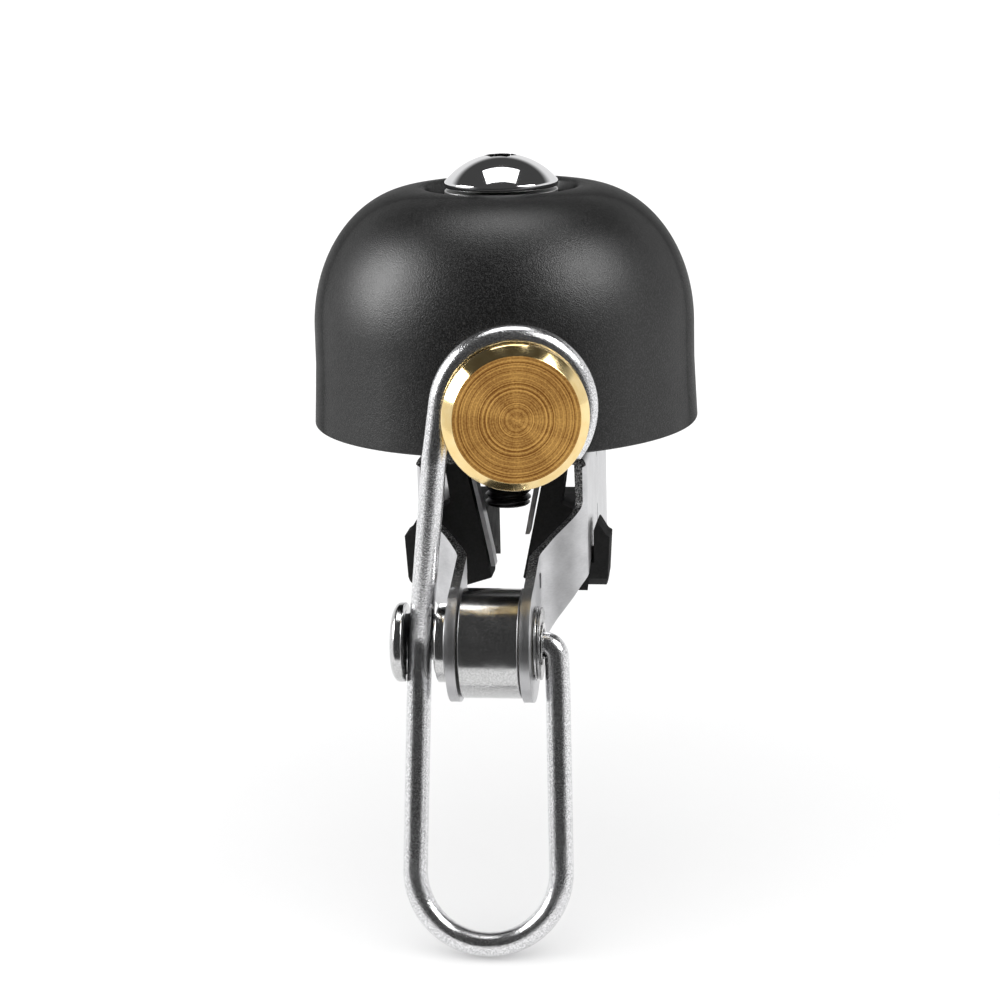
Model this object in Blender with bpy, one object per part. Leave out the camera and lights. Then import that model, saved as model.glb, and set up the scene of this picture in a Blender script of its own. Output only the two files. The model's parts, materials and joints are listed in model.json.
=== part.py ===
"""Bicycle bell: a dome on a stamped bar bracket, struck by a sprung wire lever with a brass hammer.

The frame: the origin is the top of the handlebar under the bell, +Z is up along the dome's axis,
the handlebar runs along X and the lever is on the -Y side. Lengths below are millimetres.
"""

import math

import bmesh
import bpy
from mathutils import Vector

MM = 0.001
GAP = 0.3
TURN = 2 * math.pi

# Handlebar, the height of the dome's rim above it, and how far the clamp stands off its axis
BAR_RADIUS = 15.9
RIM_Z = 14.6
CLAMP_X = 0.75

# Dome: an upright wall, an elliptical shoulder up to a crest, and a recess in the crown
DOME_SEGMENTS = 60
DOME_RIM_RADIUS = 20.5
DOME_WALL_RADIUS = 20.2
DOME_SHOULDER_Z = 10.5
DOME_CREST_RADIUS = 8.8
DOME_CREST_Z = 25.0
DOME_INNER_CREST_RADIUS = 9.6
DOME_INNER_CREST_Z = 23.4
DOME_WALL = 1.5
DOME_RECESS_RADIUS = 7.7
DOME_RECESS_Z = 22.6
DOME_HOLE_RADIUS = 2.9
SHOULDER_STEPS = 8

# Stack on the dome's axis
STUD_RADIUS = 2.5
STUD_ROOT_RADIUS = 2.1
STUD_PITCH = 0.8
STUD_BOTTOM_Z = -9.5
STUD_TOP_Z = 26.4
STUD_THREAD_TOP_Z = -2.6
STACK_BORE = 2.8
ISOLATOR_RADIUS = 6.4
ISOLATOR_HEIGHT = 0.9
CROWN_WASHER_RADIUS = 6.0
CROWN_WASHER_HEIGHT = 0.5
CAP_RADIUS = 6.0
CAP_SIDE_HEIGHT = 0.6
CAP_TOP_Z = 28.5
CAP_SOCKET_RADIUS = 1.75
CAP_SOCKET_DEPTH = 1.2
CAP_BORE_DEPTH = 2.2
POST_RADIUS = 4.0
LOCK_WASHER_RADIUS = 4.5
LOCK_WASHER_HEIGHT = 0.5
NUT_HEIGHT = 3.0
NUT_CORNER_RADIUS = 4.6

# Bracket: a top plate, two walls over the bar, two arms that close in to the ears, two tongues
SHEET = 1.0
PLATE_TOP_Z = -1.5
WALL_X = 8.9
WALL_FRONT_Y = -12.0
WALL_REAR_Y = 11.8
WALL_FOOT_Z = -15.6
WALL_FRONT_FOOT_Z = -14.6
WALL_ARCH_Z = -11.4
ARM_TOP_Z = -6.75
ARM_FRONT_Y = -15.0
ARM_FRONT_TOP_Z = -11.0
ARM_FRONT_FOOT_Z = -20.4
EAR_X = 4.25
EAR_RADIUS = 6.0
EAR_ARC_START = math.radians(95)
EAR_ARC_END = math.radians(308)
EAR_HOLE_RADIUS = 3.45
RELIEF_SLIT = 0.5
RELIEF_SLIT_TOP_Z = -9.4
ANCHOR_SLOT_Y = -16.0
ANCHOR_SLOT_Z = -13.9
TONGUE_BOW = ((4.25, -2.0), (3.6, -5.0), (2.8, -8.9), (2.4, -10.9), (2.0, -12.9), (1.75, -14.4))
TONGUE_RIGHT_POINTS = 4
TONGUE_THICKNESS = 0.45
TONGUE_FRONT_Y = -8.1
TONGUE_REAR_Y = -6.1

# Rubber boots that grip the walls and rest on the bar
BOOT_FRONT_Y = -8.3
BOOT_LEG_REAR_Y = -4.7
BOOT_REAR_Y = 9.4
BOOT_BOTTOM_Z = -16.9
BOOT_SADDLE_TOP_Z = -9.8
BOOT_LIP_X = 10.9
BOOT_TOE = ((-9.3, -14.52), (-6.1, -17.98), (-9.3, -17.98))
BOOT_TOE_X = 8.5

# Striker pivot, with its axis along X
PIVOT_Y = -21.0
PIVOT_Z = -19.1
BARREL_RADIUS = 5.6
BARREL_BORE = 4.9
BARREL_HALF_LENGTH = 3.05
PIN_RADIUS = 2.2
PIN_NECK_RADIUS = 3.2
PIN_HEAD_RADIUS = 4.05
PIN_HEAD_X = -10.4
PIN_HEAD_INNER_X = -8.95
PIN_NECK_END_X = -5.7
PIN_END_X = 5.15
PIN_BORE_RADIUS = 1.6
PIN_BORE_START_X = 2.3
CLIP_GROOVE_RADIUS = 1.85
CLIP_GROOVE = (4.74, 5.06)
BUSH_RADIUS = 3.15
BUSH_BORE = 2.45
BUSH_FLANGE_RADIUS = 4.6
BUSH_FLANGE = 0.5
COLLAR_RADIUS = 4.05
COLLAR_END_X = -5.6
END_DISC_RADIUS = 3.8
END_DISC = (4.45, 4.65)
CLIP_RADIUS = 3.7
CLIP_BORE = 2.05
CLIP = (4.8, 5.0)
CLIP_OPENING = math.radians(36)
SPRING_RADIUS = 3.7
SPRING_WIRE_RADIUS = 0.38
SPRING_TURNS = 5
SPRING_HALF_LENGTH = 2.0

# Lever wire and hammer
WIRE_RADIUS = 1.25
RING_RADIUS = 7.2
RING_CUT_ANGLE = math.radians(-40)
RING_LEAVE_ANGLE = math.radians(173)
RING_RISE = 0.45
LEVER_LEFT_X = -7.58
LEVER_GROOVE = (-8.9, -5.85)
LEVER_RIGHT_X = 6.4
LEVER_KNEE_X = 6.6
LEVER_KNEE_DROP = 5.0
LOOP_LEAN = math.radians(12)
LOOP_CENTRE_X = -0.5
LOOP_RADIUS = 7.5
LOOP_CENTRE_DISTANCE = 23.3
BEND_RADIUS = 6.0
HAMMER_YAW = math.radians(12)
HAMMER_FACE = (4.3, -27.0, 5.3)
HAMMER_FACE_RADIUS = 6.35
HAMMER_RADIUS = 7.35
HAMMER_NECK_RADIUS = 5.5
HAMMER_REAR_RADIUS = 6.4
HAMMER_CHAMFER = 1.0
HAMMER_FLANGE = 1.8
HAMMER_GROOVE = 3.0
HAMMER_LENGTH = 5.8

LATHE_SEGMENTS = 32


def clear_scene():
    for item in list(bpy.data.objects):
        bpy.data.objects.remove(item, do_unlink=True)


def make_material(name, color, roughness, metallic):
    made = bpy.data.materials.new(name)
    made.use_nodes = True
    shader = made.node_tree.nodes["Principled BSDF"]
    shader.inputs["Base Color"].default_value = (*color, 1.0)
    shader.inputs["Roughness"].default_value = roughness
    shader.inputs["Metallic"].default_value = metallic
    return made


def link_object(name, data, material, at=(0, 0, 0), turn=(0, 0, 0), parent=None):
    item = bpy.data.objects.new(name, data)
    bpy.context.collection.objects.link(item)
    item.rotation_euler = turn
    item.parent = parent
    base = parent.location if parent else Vector((0, 0, 0))
    item.location = Vector(at) * MM - base
    if material:
        data.materials.append(material)
    return item


def mesh_of(name, points, edges, faces):
    data = bpy.data.meshes.new(name)
    data.from_pydata([Vector(p) * MM for p in points], edges, faces)
    data.update()
    return data


def lathe(name, profile, material, closed=True, segments=LATHE_SEGMENTS, **place):
    """Turns a profile of (radius, height) pairs, listed down its outer side, about local Z."""
    points = [(radius, 0, height) for radius, height in profile]
    edges = [(i, i + 1) for i in range(len(points) - 1)]
    if closed:
        edges.append((len(points) - 1, 0))
    item = link_object(name, mesh_of(name, points, edges, []), material, **place)
    screw = item.modifiers.new("turned", "SCREW")
    screw.steps = segments
    screw.render_steps = segments
    screw.use_merge_vertices = True
    screw.merge_threshold = 0.000001
    screw.use_smooth_shade = True
    return item


def prism(name, outline, low, high, material=None, axis="Y", **place):
    """A closed outline pushed through along X or Y: pairs are (X, Z) for Y and (Y, Z) for X."""
    shape = bmesh.new()
    if axis == "Y":
        ring = [shape.verts.new(Vector((a, low, b)) * MM) for a, b in outline]
        push = Vector((0, high - low, 0)) * MM
    else:
        ring = [shape.verts.new(Vector((low, a, b)) * MM) for a, b in outline]
        push = Vector((high - low, 0, 0)) * MM
    face = shape.faces.new(ring)
    grown = bmesh.ops.extrude_face_region(shape, geom=[face])
    moved = [v for v in grown["geom"] if isinstance(v, bmesh.types.BMVert)]
    bmesh.ops.translate(shape, vec=push, verts=moved)
    bmesh.ops.recalc_face_normals(shape, faces=shape.faces)
    data = bpy.data.meshes.new(name)
    shape.to_mesh(data)
    shape.free()
    return link_object(name, data, material, **place)


def box(name, low, high):
    outline = [(low[0], low[2]), (high[0], low[2]), (high[0], high[2]), (low[0], high[2])]
    return prism(name, outline, low[1], high[1])


def combine(target, other, operation):
    other.hide_render = True
    other.display_type = "WIRE"
    step = target.modifiers.new(other.name, "BOOLEAN")
    step.operation = operation
    step.solver = "EXACT"
    step.object = other
    return target


def bar_along_x(name, radius, half_length, y, z, segments=64):
    """A plain round bar, used to cut holes and arches."""
    profile = [(0, half_length), (radius, half_length), (radius, -half_length), (0, -half_length)]
    return lathe(
        name, profile, None, closed=False, segments=segments, at=(0, y, z), turn=(0, math.pi / 2, 0)
    )


def tube_profile(outer, inner, low, high):
    return [(outer, high), (outer, low), (inner, low), (inner, high)]


def rounded_path(points, radii, steps=6):
    """The line through the points with each inner corner rounded to its radius."""
    path = [points[0]]
    for before, corner, after, radius in zip(points, points[1:], points[2:], radii):
        back = (before - corner).normalized()
        ahead = (after - corner).normalized()
        half = back.angle(ahead) / 2
        if radius == 0:
            path.append(corner)
            continue
        centre = corner + (back + ahead).normalized() * radius / math.sin(half)
        first = corner + back * radius / math.tan(half) - centre
        last = corner + ahead * radius / math.tan(half) - centre
        for k in range(steps + 1):
            spoke = first.normalized().slerp(last.normalized(), k / steps)
            path.append(centre + spoke * radius)
    path.append(points[-1])
    return path


def wire(name, path, radius, sides, material, **place):
    data = bpy.data.curves.new(name, "CURVE")
    data.dimensions = "3D"
    data.bevel_depth = radius * MM
    data.bevel_resolution = sides // 2 - 2
    data.use_fill_caps = True
    line = data.splines.new("POLY")
    line.points.add(len(path) - 1)
    for point, where in zip(line.points, path):
        point.co = (*(where * MM), 1.0)
    line.use_smooth = True
    return link_object(name, data, material, **place)


def dome(material):
    def shoulder(wall, crest, low, high):
        turns = [math.pi / 2 * k / SHOULDER_STEPS for k in range(SHOULDER_STEPS + 1)]
        reach = wall - crest
        return [(crest + reach * math.cos(t), low + (high - low) * math.sin(t)) for t in turns]

    outer = shoulder(DOME_WALL_RADIUS, DOME_CREST_RADIUS, DOME_SHOULDER_Z, DOME_CREST_Z)
    inner = shoulder(
        DOME_WALL_RADIUS - DOME_WALL, DOME_INNER_CREST_RADIUS, DOME_SHOULDER_Z, DOME_INNER_CREST_Z
    )
    floor = DOME_RECESS_Z
    under = floor - DOME_WALL
    lip = [(8.3, DOME_CREST_Z - 0.2), (7.95, DOME_CREST_Z - 0.7), (7.8, floor + 0.4)]
    crown = [(DOME_HOLE_RADIUS, floor), (DOME_RECESS_RADIUS - 0.3, floor), *reversed(lip)]
    rim = [
        (20.25, 5.5),
        (20.35, 2.5),
        (DOME_RIM_RADIUS, 0.25),
        (DOME_RIM_RADIUS - 0.25, 0),
        (DOME_RIM_RADIUS - DOME_WALL + 0.25, 0),
        (DOME_RIM_RADIUS - DOME_WALL, 0.25),
    ]
    bulge = [(9.3, DOME_INNER_CREST_Z - 0.5), (9.15, under + 0.6), (8.5, under)]
    profile = [*crown, *reversed(outer), *rim, *inner, *bulge, (DOME_HOLE_RADIUS, under)]
    return lathe("dome", profile, material, segments=DOME_SEGMENTS, at=(0, 0, RIM_Z))


def upper_isolator(material):
    low = DOME_RECESS_Z + GAP
    profile = tube_profile(ISOLATOR_RADIUS, STACK_BORE, low, low + ISOLATOR_HEIGHT)
    return lathe("upper_isolator", profile, material, at=(0, 0, RIM_Z))


def lower_isolator(material):
    high = DOME_RECESS_Z - DOME_WALL - GAP
    profile = tube_profile(ISOLATOR_RADIUS, STACK_BORE, high - ISOLATOR_HEIGHT, high)
    return lathe("lower_isolator", profile, material, at=(0, 0, RIM_Z))


def crown_washer(material):
    low = DOME_RECESS_Z + 2 * GAP + ISOLATOR_HEIGHT
    profile = tube_profile(CROWN_WASHER_RADIUS, STACK_BORE, low, low + CROWN_WASHER_HEIGHT)
    return lathe("crown_washer", profile, material, at=(0, 0, RIM_Z))


def cap_nut(material):
    low = DOME_RECESS_Z + 3 * GAP + ISOLATOR_HEIGHT + CROWN_WASHER_HEIGHT
    side = low + CAP_SIDE_HEIGHT
    rise = CAP_TOP_Z - side
    ball = (CAP_RADIUS**2 + rise**2) / (2 * rise)
    edge = math.asin(CAP_RADIUS / ball)
    turns = [edge * k / 7 for k in range(1, 7)]
    crown = [(ball * math.sin(t), CAP_TOP_Z - ball * (1 - math.cos(t))) for t in turns]
    profile = [(0, CAP_TOP_Z), *crown, (CAP_RADIUS, side), (CAP_RADIUS, low + 0.3)]
    profile += [(CAP_RADIUS - 0.3, low), (STACK_BORE, low)]
    profile += [(STACK_BORE, low + CAP_BORE_DEPTH), (0, low + CAP_BORE_DEPTH)]
    item = lathe("cap_nut", profile, material, closed=False, at=(0, 0, RIM_Z))
    floor = CAP_TOP_Z - CAP_SOCKET_DEPTH
    socket = [(0, CAP_TOP_Z + 1), (CAP_SOCKET_RADIUS, CAP_TOP_Z + 1), (CAP_SOCKET_RADIUS, floor)]
    key = lathe(
        "cap_socket_cut", [*socket, (0, floor)], None, closed=False, segments=6, at=(0, 0, RIM_Z)
    )
    return combine(item, key, "DIFFERENCE")


def dome_stud(material):
    """A plain shank with ridges at the pitch of the thread below the bracket."""
    low = STUD_BOTTOM_Z
    profile = [(0, STUD_TOP_Z), (STUD_RADIUS - 0.3, STUD_TOP_Z), (STUD_RADIUS, STUD_TOP_Z - 0.3)]
    count = int((STUD_THREAD_TOP_Z - low) / STUD_PITCH)
    for k in range(count):
        top = STUD_THREAD_TOP_Z - k * STUD_PITCH
        profile += [(STUD_RADIUS, top), (STUD_ROOT_RADIUS, top - STUD_PITCH / 2)]
    profile += [(STUD_RADIUS - 0.1, low + 0.3), (STUD_ROOT_RADIUS, low), (0, low)]
    return lathe("dome_stud", profile, material, closed=False, segments=28, at=(0, 0, RIM_Z))


def dome_post(material):
    low = PLATE_TOP_Z + GAP
    high = DOME_RECESS_Z - DOME_WALL - 2 * GAP - ISOLATOR_HEIGHT
    profile = tube_profile(POST_RADIUS, STACK_BORE, low, high)
    return lathe("dome_post", profile, material, at=(0, 0, RIM_Z))


def lock_washer(material):
    high = PLATE_TOP_Z - SHEET - GAP
    profile = tube_profile(LOCK_WASHER_RADIUS, STACK_BORE, high - LOCK_WASHER_HEIGHT, high)
    return lathe("lock_washer", profile, material, segments=28, at=(0, 0, RIM_Z))


def lock_nut(material):
    high = PLATE_TOP_Z - SHEET - 2 * GAP - LOCK_WASHER_HEIGHT
    low = high - NUT_HEIGHT
    hexagon = [(math.cos(TURN * k / 6), math.sin(TURN * k / 6)) for k in range(6)]
    shape = bmesh.new()
    ring = [shape.verts.new(Vector((x, y, 0)) * NUT_CORNER_RADIUS * MM) for x, y in hexagon]
    face = shape.faces.new(ring)
    grown = bmesh.ops.extrude_face_region(shape, geom=[face])
    moved = [v for v in grown["geom"] if isinstance(v, bmesh.types.BMVert)]
    bmesh.ops.translate(shape, vec=Vector((0, 0, NUT_HEIGHT)) * MM, verts=moved)
    bmesh.ops.recalc_face_normals(shape, faces=shape.faces)
    data = bpy.data.meshes.new("lock_nut")
    shape.to_mesh(data)
    shape.free()
    item = link_object("lock_nut", data, material, at=(0, 0, RIM_Z + low))
    profile = [(0, high + 1), (STACK_BORE, high + 1), (STACK_BORE, low - 1), (0, low - 1)]
    bore = lathe("lock_nut_cut", profile, None, closed=False, segments=28, at=(0, 0, RIM_Z))
    return combine(item, bore, "DIFFERENCE")


def wall_outline():
    return [
        (WALL_REAR_Y, PLATE_TOP_Z - 0.15),
        (WALL_FRONT_Y, PLATE_TOP_Z - 0.15),
        (WALL_FRONT_Y, ARM_TOP_Z),
        (WALL_FRONT_Y, WALL_FRONT_FOOT_Z),
        (0, WALL_ARCH_Z),
        (WALL_REAR_Y, WALL_FOOT_Z),
    ]


def ear_arc(steps=26):
    sweep = EAR_ARC_END - EAR_ARC_START
    turns = [EAR_ARC_START + sweep * k / steps for k in range(steps + 1)]
    return [(PIVOT_Y + EAR_RADIUS * math.cos(t), PIVOT_Z + EAR_RADIUS * math.sin(t)) for t in turns]


def side_x(y):
    """How far the outer face of a side plate is from the middle, at a given Y."""
    share = (WALL_FRONT_Y - y) / (WALL_FRONT_Y - ARM_FRONT_Y)
    return WALL_X - (WALL_X - EAR_X) * min(max(share, 0), 1)


def side_plate(name, side):
    """One wall, arm and ear: a single sheet folded along two upright lines."""
    front_top = (ARM_FRONT_Y, ARM_FRONT_TOP_Z)
    front_foot = (ARM_FRONT_Y, ARM_FRONT_FOOT_Z)
    rear_top = (WALL_FRONT_Y, ARM_TOP_Z)
    rear_foot = (WALL_FRONT_Y, WALL_FRONT_FOOT_Z)
    parts = [
        wall_outline(),
        [rear_top, front_top, front_foot, rear_foot],
        [front_top, *ear_arc(), front_foot],
    ]
    shape = bmesh.new()
    made = {}
    for outline in parts:
        ring = []
        for y, z in outline:
            if (y, z) not in made:
                where = Vector((CLAMP_X + side * side_x(y), y, z + RIM_Z))
                made[y, z] = shape.verts.new(where * MM)
            ring.append(made[y, z])
        shape.faces.new(ring)
    grown = bmesh.ops.extrude_face_region(shape, geom=list(shape.faces))
    moved = [v for v in grown["geom"] if isinstance(v, bmesh.types.BMVert)]
    bmesh.ops.translate(shape, vec=Vector((-side * SHEET, 0, 0)) * MM, verts=moved)
    bend = math.atan2(WALL_X - EAR_X, WALL_FRONT_Y - ARM_FRONT_Y)
    folded = {made[y, z].co.z for y, z in (rear_top, front_top, front_foot, rear_foot)}
    for vertex in moved:
        at_fold = any(abs(vertex.co.y - y * MM) < 1e-7 for y in (WALL_FRONT_Y, ARM_FRONT_Y))
        if at_fold and any(abs(vertex.co.z - z) < 1e-7 for z in folded):
            vertex.co.y += SHEET * math.tan(bend / 2) * MM
    bmesh.ops.recalc_face_normals(shape, faces=shape.faces)
    data = bpy.data.meshes.new(name)
    shape.to_mesh(data)
    shape.free()
    return link_object(name, data, None)


def tongue(name, side, count):
    """A bowed strip under the top plate, along the inner side of the boot's leg."""
    bow = TONGUE_BOW[:count]
    outer = [(CLAMP_X + side * x, z + RIM_Z) for x, z in bow]
    inner = [(CLAMP_X + side * (x - TONGUE_THICKNESS), z + RIM_Z) for x, z in bow]
    return prism(name, outer + inner[::-1], TONGUE_FRONT_Y, TONGUE_REAR_Y)


def bracket(material):
    top = RIM_Z + PLATE_TOP_Z
    left, right = CLAMP_X - WALL_X + 0.3, CLAMP_X + WALL_X - 0.3
    outline = [(left, top - SHEET), (right, top - SHEET), (right, top), (left, top)]
    item = prism("bracket", outline, WALL_FRONT_Y + 0.15, WALL_REAR_Y - 0.15, material)
    for name, side, tongue_points in (("left", -1, None), ("right", 1, TONGUE_RIGHT_POINTS)):
        combine(item, side_plate(f"bracket_side_{name}", side), "UNION")
        combine(item, tongue(f"bracket_tongue_{name}", side, tongue_points), "UNION")
    stud_hole = lathe(
        "bracket_stud_cut",
        [(0, 1), (STACK_BORE, 1), (STACK_BORE, -2), (0, -2)],
        None,
        closed=False,
        segments=32,
        at=(0, 0, top),
    )
    combine(item, stud_hole, "DIFFERENCE")
    ear_hole = bar_along_x("bracket_ear_cut", EAR_HOLE_RADIUS, 8, PIVOT_Y, PIVOT_Z + RIM_Z, 32)
    combine(item, ear_hole, "DIFFERENCE")
    half = RELIEF_SLIT / 2
    slit_low = (-WALL_X - 2, -half, RIM_Z + WALL_ARCH_Z - 1)
    slit = box("bracket_slit_cut", slit_low, (WALL_X + 2, half, RIM_Z + RELIEF_SLIT_TOP_Z))
    combine(item, slit, "DIFFERENCE")
    anchor_low = (-EAR_X - 2, ANCHOR_SLOT_Y, RIM_Z + ANCHOR_SLOT_Z - 0.8)
    anchor_high = (EAR_X + 2, ANCHOR_SLOT_Y + 0.5, RIM_Z + ANCHOR_SLOT_Z + 0.8)
    return combine(item, box("bracket_anchor_cut", anchor_low, anchor_high), "DIFFERENCE")


def boot_front_outline(side):
    """The boot from the front: the outer lip over the wall, the foot and the leaning leg."""
    pairs = [
        (1.65, -15.6),
        (4.85, -16.6),
        (7.6, BOOT_BOTTOM_Z),
        (9.8, BOOT_BOTTOM_Z),
        (10.45, -16.3),
        (10.75, -15.2),
        (BOOT_LIP_X, -11.1),
        (10.5, -10.85),
        (9.6, -9.4),
        (9.0, -10.9),
        (7.4, -8.3),
        (5.85, -7.5),
        (6.5, PLATE_TOP_Z - SHEET - GAP),
        (4.35, PLATE_TOP_Z - SHEET - GAP),
    ]
    return [(CLAMP_X + side * x, z + RIM_Z) for x, z in pairs]


def wall_slot(name, side):
    """The slot for the wall: the wall's own outline with a gap all round."""
    front, rear = WALL_FRONT_FOOT_Z - GAP, WALL_FOOT_Z - GAP
    outline = [
        (WALL_REAR_Y + 2, 0),
        (WALL_FRONT_Y - 2, 0),
        (WALL_FRONT_Y - 2, front),
        (WALL_FRONT_Y, front),
        (0, WALL_ARCH_Z - GAP),
        (WALL_REAR_Y, rear),
        (WALL_REAR_Y + 2, rear),
    ]
    near = CLAMP_X + side * (WALL_X - SHEET - GAP)
    far = CLAMP_X + side * (WALL_X + GAP)
    raised = [(a, b + RIM_Z) for a, b in outline]
    return prism(name, raised, min(near, far), max(near, far), axis="X")


def toe_cut(name, side):
    """The slanted toe under the boot's outer lip."""
    near, far = CLAMP_X + side * BOOT_TOE_X, CLAMP_X + side * (BOOT_LIP_X + 1)
    raised = [(a, b + RIM_Z) for a, b in BOOT_TOE]
    return prism(name, raised, min(near, far), max(near, far), axis="X")


def saddle_boot(name, side, material):
    item = prism(name, boot_front_outline(side), BOOT_FRONT_Y, BOOT_LEG_REAR_Y, material)
    inner, outer = CLAMP_X + side * 2.9, CLAMP_X + side * (WALL_X - 0.5)
    low = (min(inner, outer), BOOT_LEG_REAR_Y - 0.4, RIM_Z - 17.5)
    high = (max(inner, outer), BOOT_REAR_Y, RIM_Z + BOOT_SADDLE_TOP_Z)
    combine(item, box(f"{name}_saddle", low, high), "UNION")
    combine(item, wall_slot(f"{name}_wall_cut", side), "DIFFERENCE")
    combine(item, toe_cut(f"{name}_toe_cut", side), "DIFFERENCE")
    arch = bar_along_x(f"{name}_bar_cut", BAR_RADIUS, 15, 0, -BAR_RADIUS, 96)
    return combine(item, arch, "DIFFERENCE")


def pivot_at():
    return Vector((CLAMP_X, PIVOT_Y, PIVOT_Z + RIM_Z))


def along_pivot():
    return {"at": pivot_at(), "turn": (0, math.pi / 2, 0)}


def spring_barrel(material):
    end = BARREL_HALF_LENGTH
    profile = [
        (BARREL_RADIUS - 0.15, end),
        (BARREL_RADIUS, end - 0.15),
        (BARREL_RADIUS, 0.15 - end),
        (BARREL_RADIUS - 0.15, -end),
        (BARREL_BORE, -end),
        (BARREL_BORE, end),
    ]
    return lathe("spring_barrel", profile, material, **along_pivot())


def bush(name, side, material):
    inner = BARREL_HALF_LENGTH - BUSH_FLANGE
    face = BARREL_HALF_LENGTH
    end = EAR_X
    flange = BUSH_FLANGE_RADIUS
    profile = [(BUSH_RADIUS, end), (BUSH_RADIUS, face), (flange, face)]
    profile += [(flange, inner), (BUSH_BORE, inner), (BUSH_BORE, end)]
    if side < 0:
        profile = [(radius, -height) for radius, height in reversed(profile)]
    return lathe(name, profile, material, segments=32, **along_pivot())


def torsion_spring(material):
    steps = 12 * SPRING_TURNS
    path = []
    for k in range(steps + 1):
        turn = TURN * SPRING_TURNS * k / steps
        x = SPRING_HALF_LENGTH * (2 * k / steps - 1)
        y, z = SPRING_RADIUS * math.cos(turn), SPRING_RADIUS * math.sin(turn)
        path.append(Vector((x, y, z)))
    return wire("torsion_spring", path, SPRING_WIRE_RADIUS, 6, material, at=pivot_at())


def pivot_pin(material, parent):
    """A headed pin: a groove across the neck for the wire, a bore in the end for its other end."""
    head = PIN_HEAD_RADIUS
    profile = [
        (PIN_BORE_RADIUS, PIN_END_X),
        (PIN_RADIUS, PIN_END_X),
        (PIN_RADIUS, CLIP_GROOVE[1]),
        (CLIP_GROOVE_RADIUS, CLIP_GROOVE[1]),
        (CLIP_GROOVE_RADIUS, CLIP_GROOVE[0]),
        (PIN_RADIUS, CLIP_GROOVE[0]),
        (PIN_RADIUS, PIN_NECK_END_X),
        (PIN_NECK_RADIUS, PIN_NECK_END_X),
        (PIN_NECK_RADIUS, PIN_HEAD_INNER_X),
        (head - 0.1, PIN_HEAD_INNER_X),
        (head, PIN_HEAD_INNER_X - 0.1),
        (head, PIN_HEAD_X + 0.75),
        (head - 0.25, PIN_HEAD_X + 0.35),
        (head - 0.8, PIN_HEAD_X + 0.1),
        (head - 1.6, PIN_HEAD_X),
        (0, PIN_HEAD_X),
    ]
    bore = [(0, PIN_BORE_START_X), (PIN_BORE_RADIUS, PIN_BORE_START_X)]
    item = lathe(
        "pivot_pin", [*bore, *profile], material, closed=False, parent=parent, **along_pivot()
    )
    low = pivot_at() + Vector((LEVER_GROOVE[0], -6, -6))
    high = pivot_at() + Vector((LEVER_GROOVE[1], 2.05, 6))
    return combine(item, box("pivot_pin_cut", low, high), "DIFFERENCE")


def thrust_collar(material, parent):
    profile = [
        (COLLAR_RADIUS - 0.15, -EAR_X - GAP),
        (COLLAR_RADIUS, -EAR_X - GAP - 0.15),
        (COLLAR_RADIUS, COLLAR_END_X + 0.15),
        (COLLAR_RADIUS - 0.15, COLLAR_END_X),
        (BUSH_BORE, COLLAR_END_X),
        (BUSH_BORE, -EAR_X - GAP),
    ]
    return lathe("thrust_collar", profile, material, parent=parent, **along_pivot())


def end_washer(material, parent):
    profile = tube_profile(END_DISC_RADIUS, BUSH_BORE, *END_DISC)
    return lathe("end_washer", profile, material, segments=32, parent=parent, **along_pivot())


def retaining_clip(material, parent):
    """A flat clip, open at the back, in the groove at the end of the pin."""
    sweep = TURN - 2 * CLIP_OPENING
    turns = [CLIP_OPENING + sweep * k / 28 for k in range(29)]
    outer = [(CLIP_RADIUS * math.cos(t), CLIP_RADIUS * math.sin(t)) for t in turns]
    inner = [(CLIP_BORE * math.cos(t), CLIP_BORE * math.sin(t)) for t in reversed(turns)]
    at = pivot_at()
    return prism(
        "retaining_clip", outer + inner, *CLIP, material, axis="X", at=at, parent=parent
    )


def hammer_axis():
    return Vector((math.sin(HAMMER_YAW), -math.cos(HAMMER_YAW), 0))


def ring_centre():
    back = HAMMER_FLANGE + HAMMER_GROOVE / 2
    rise = Vector((0, 0, RIM_Z + RING_RISE))
    return Vector(HAMMER_FACE) - hammer_axis() * back + rise


def ring_point(angle, radius=RING_RADIUS):
    right = Vector((math.cos(HAMMER_YAW), math.sin(HAMMER_YAW), 0))
    up = Vector((0, 0, 1))
    return ring_centre() + (right * math.cos(angle) + up * math.sin(angle)) * radius


def lever_path():
    """From the cut end of the ring, over the hammer, through the pin, round the loop, to the pin."""
    sweep = RING_LEAVE_ANGLE - RING_CUT_ANGLE
    ring = [ring_point(RING_CUT_ANGLE + sweep * k / 26) for k in range(27)]
    heading = (ring[-1] - ring[-2]).normalized()
    waist = ring[-1] + heading * 5.2
    pivot = pivot_at()
    slot = pivot + Vector((LEVER_LEFT_X, 0, 0))
    down = Vector((0, -math.sin(LOOP_LEAN), -math.cos(LOOP_LEAN)))
    side = Vector((1, 0, 0))
    base = pivot + side * LOOP_CENTRE_X + down * LOOP_CENTRE_DISTANCE
    turns = [math.pi * k / 18 for k in range(19)]
    loop = [base + (down * math.sin(t) - side * math.cos(t)) * LOOP_RADIUS for t in turns]
    knee = pivot + side * LEVER_KNEE_X + down * LEVER_KNEE_DROP
    corner = pivot + side * LEVER_RIGHT_X
    tail = pivot + side * (PIN_BORE_START_X + GAP)
    upper = rounded_path([ring[-1], waist, slot, loop[0]], [BEND_RADIUS, BEND_RADIUS])
    tight = LEVER_RIGHT_X - PIN_END_X + 0.15
    lower = rounded_path([loop[-1], knee, corner, tail], [BEND_RADIUS, tight])
    return ring[:-1] + upper + loop[1:-1] + lower


def lever_wire(material, parent):
    return wire("lever_wire", lever_path(), WIRE_RADIUS, 12, material, parent=parent)


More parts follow.
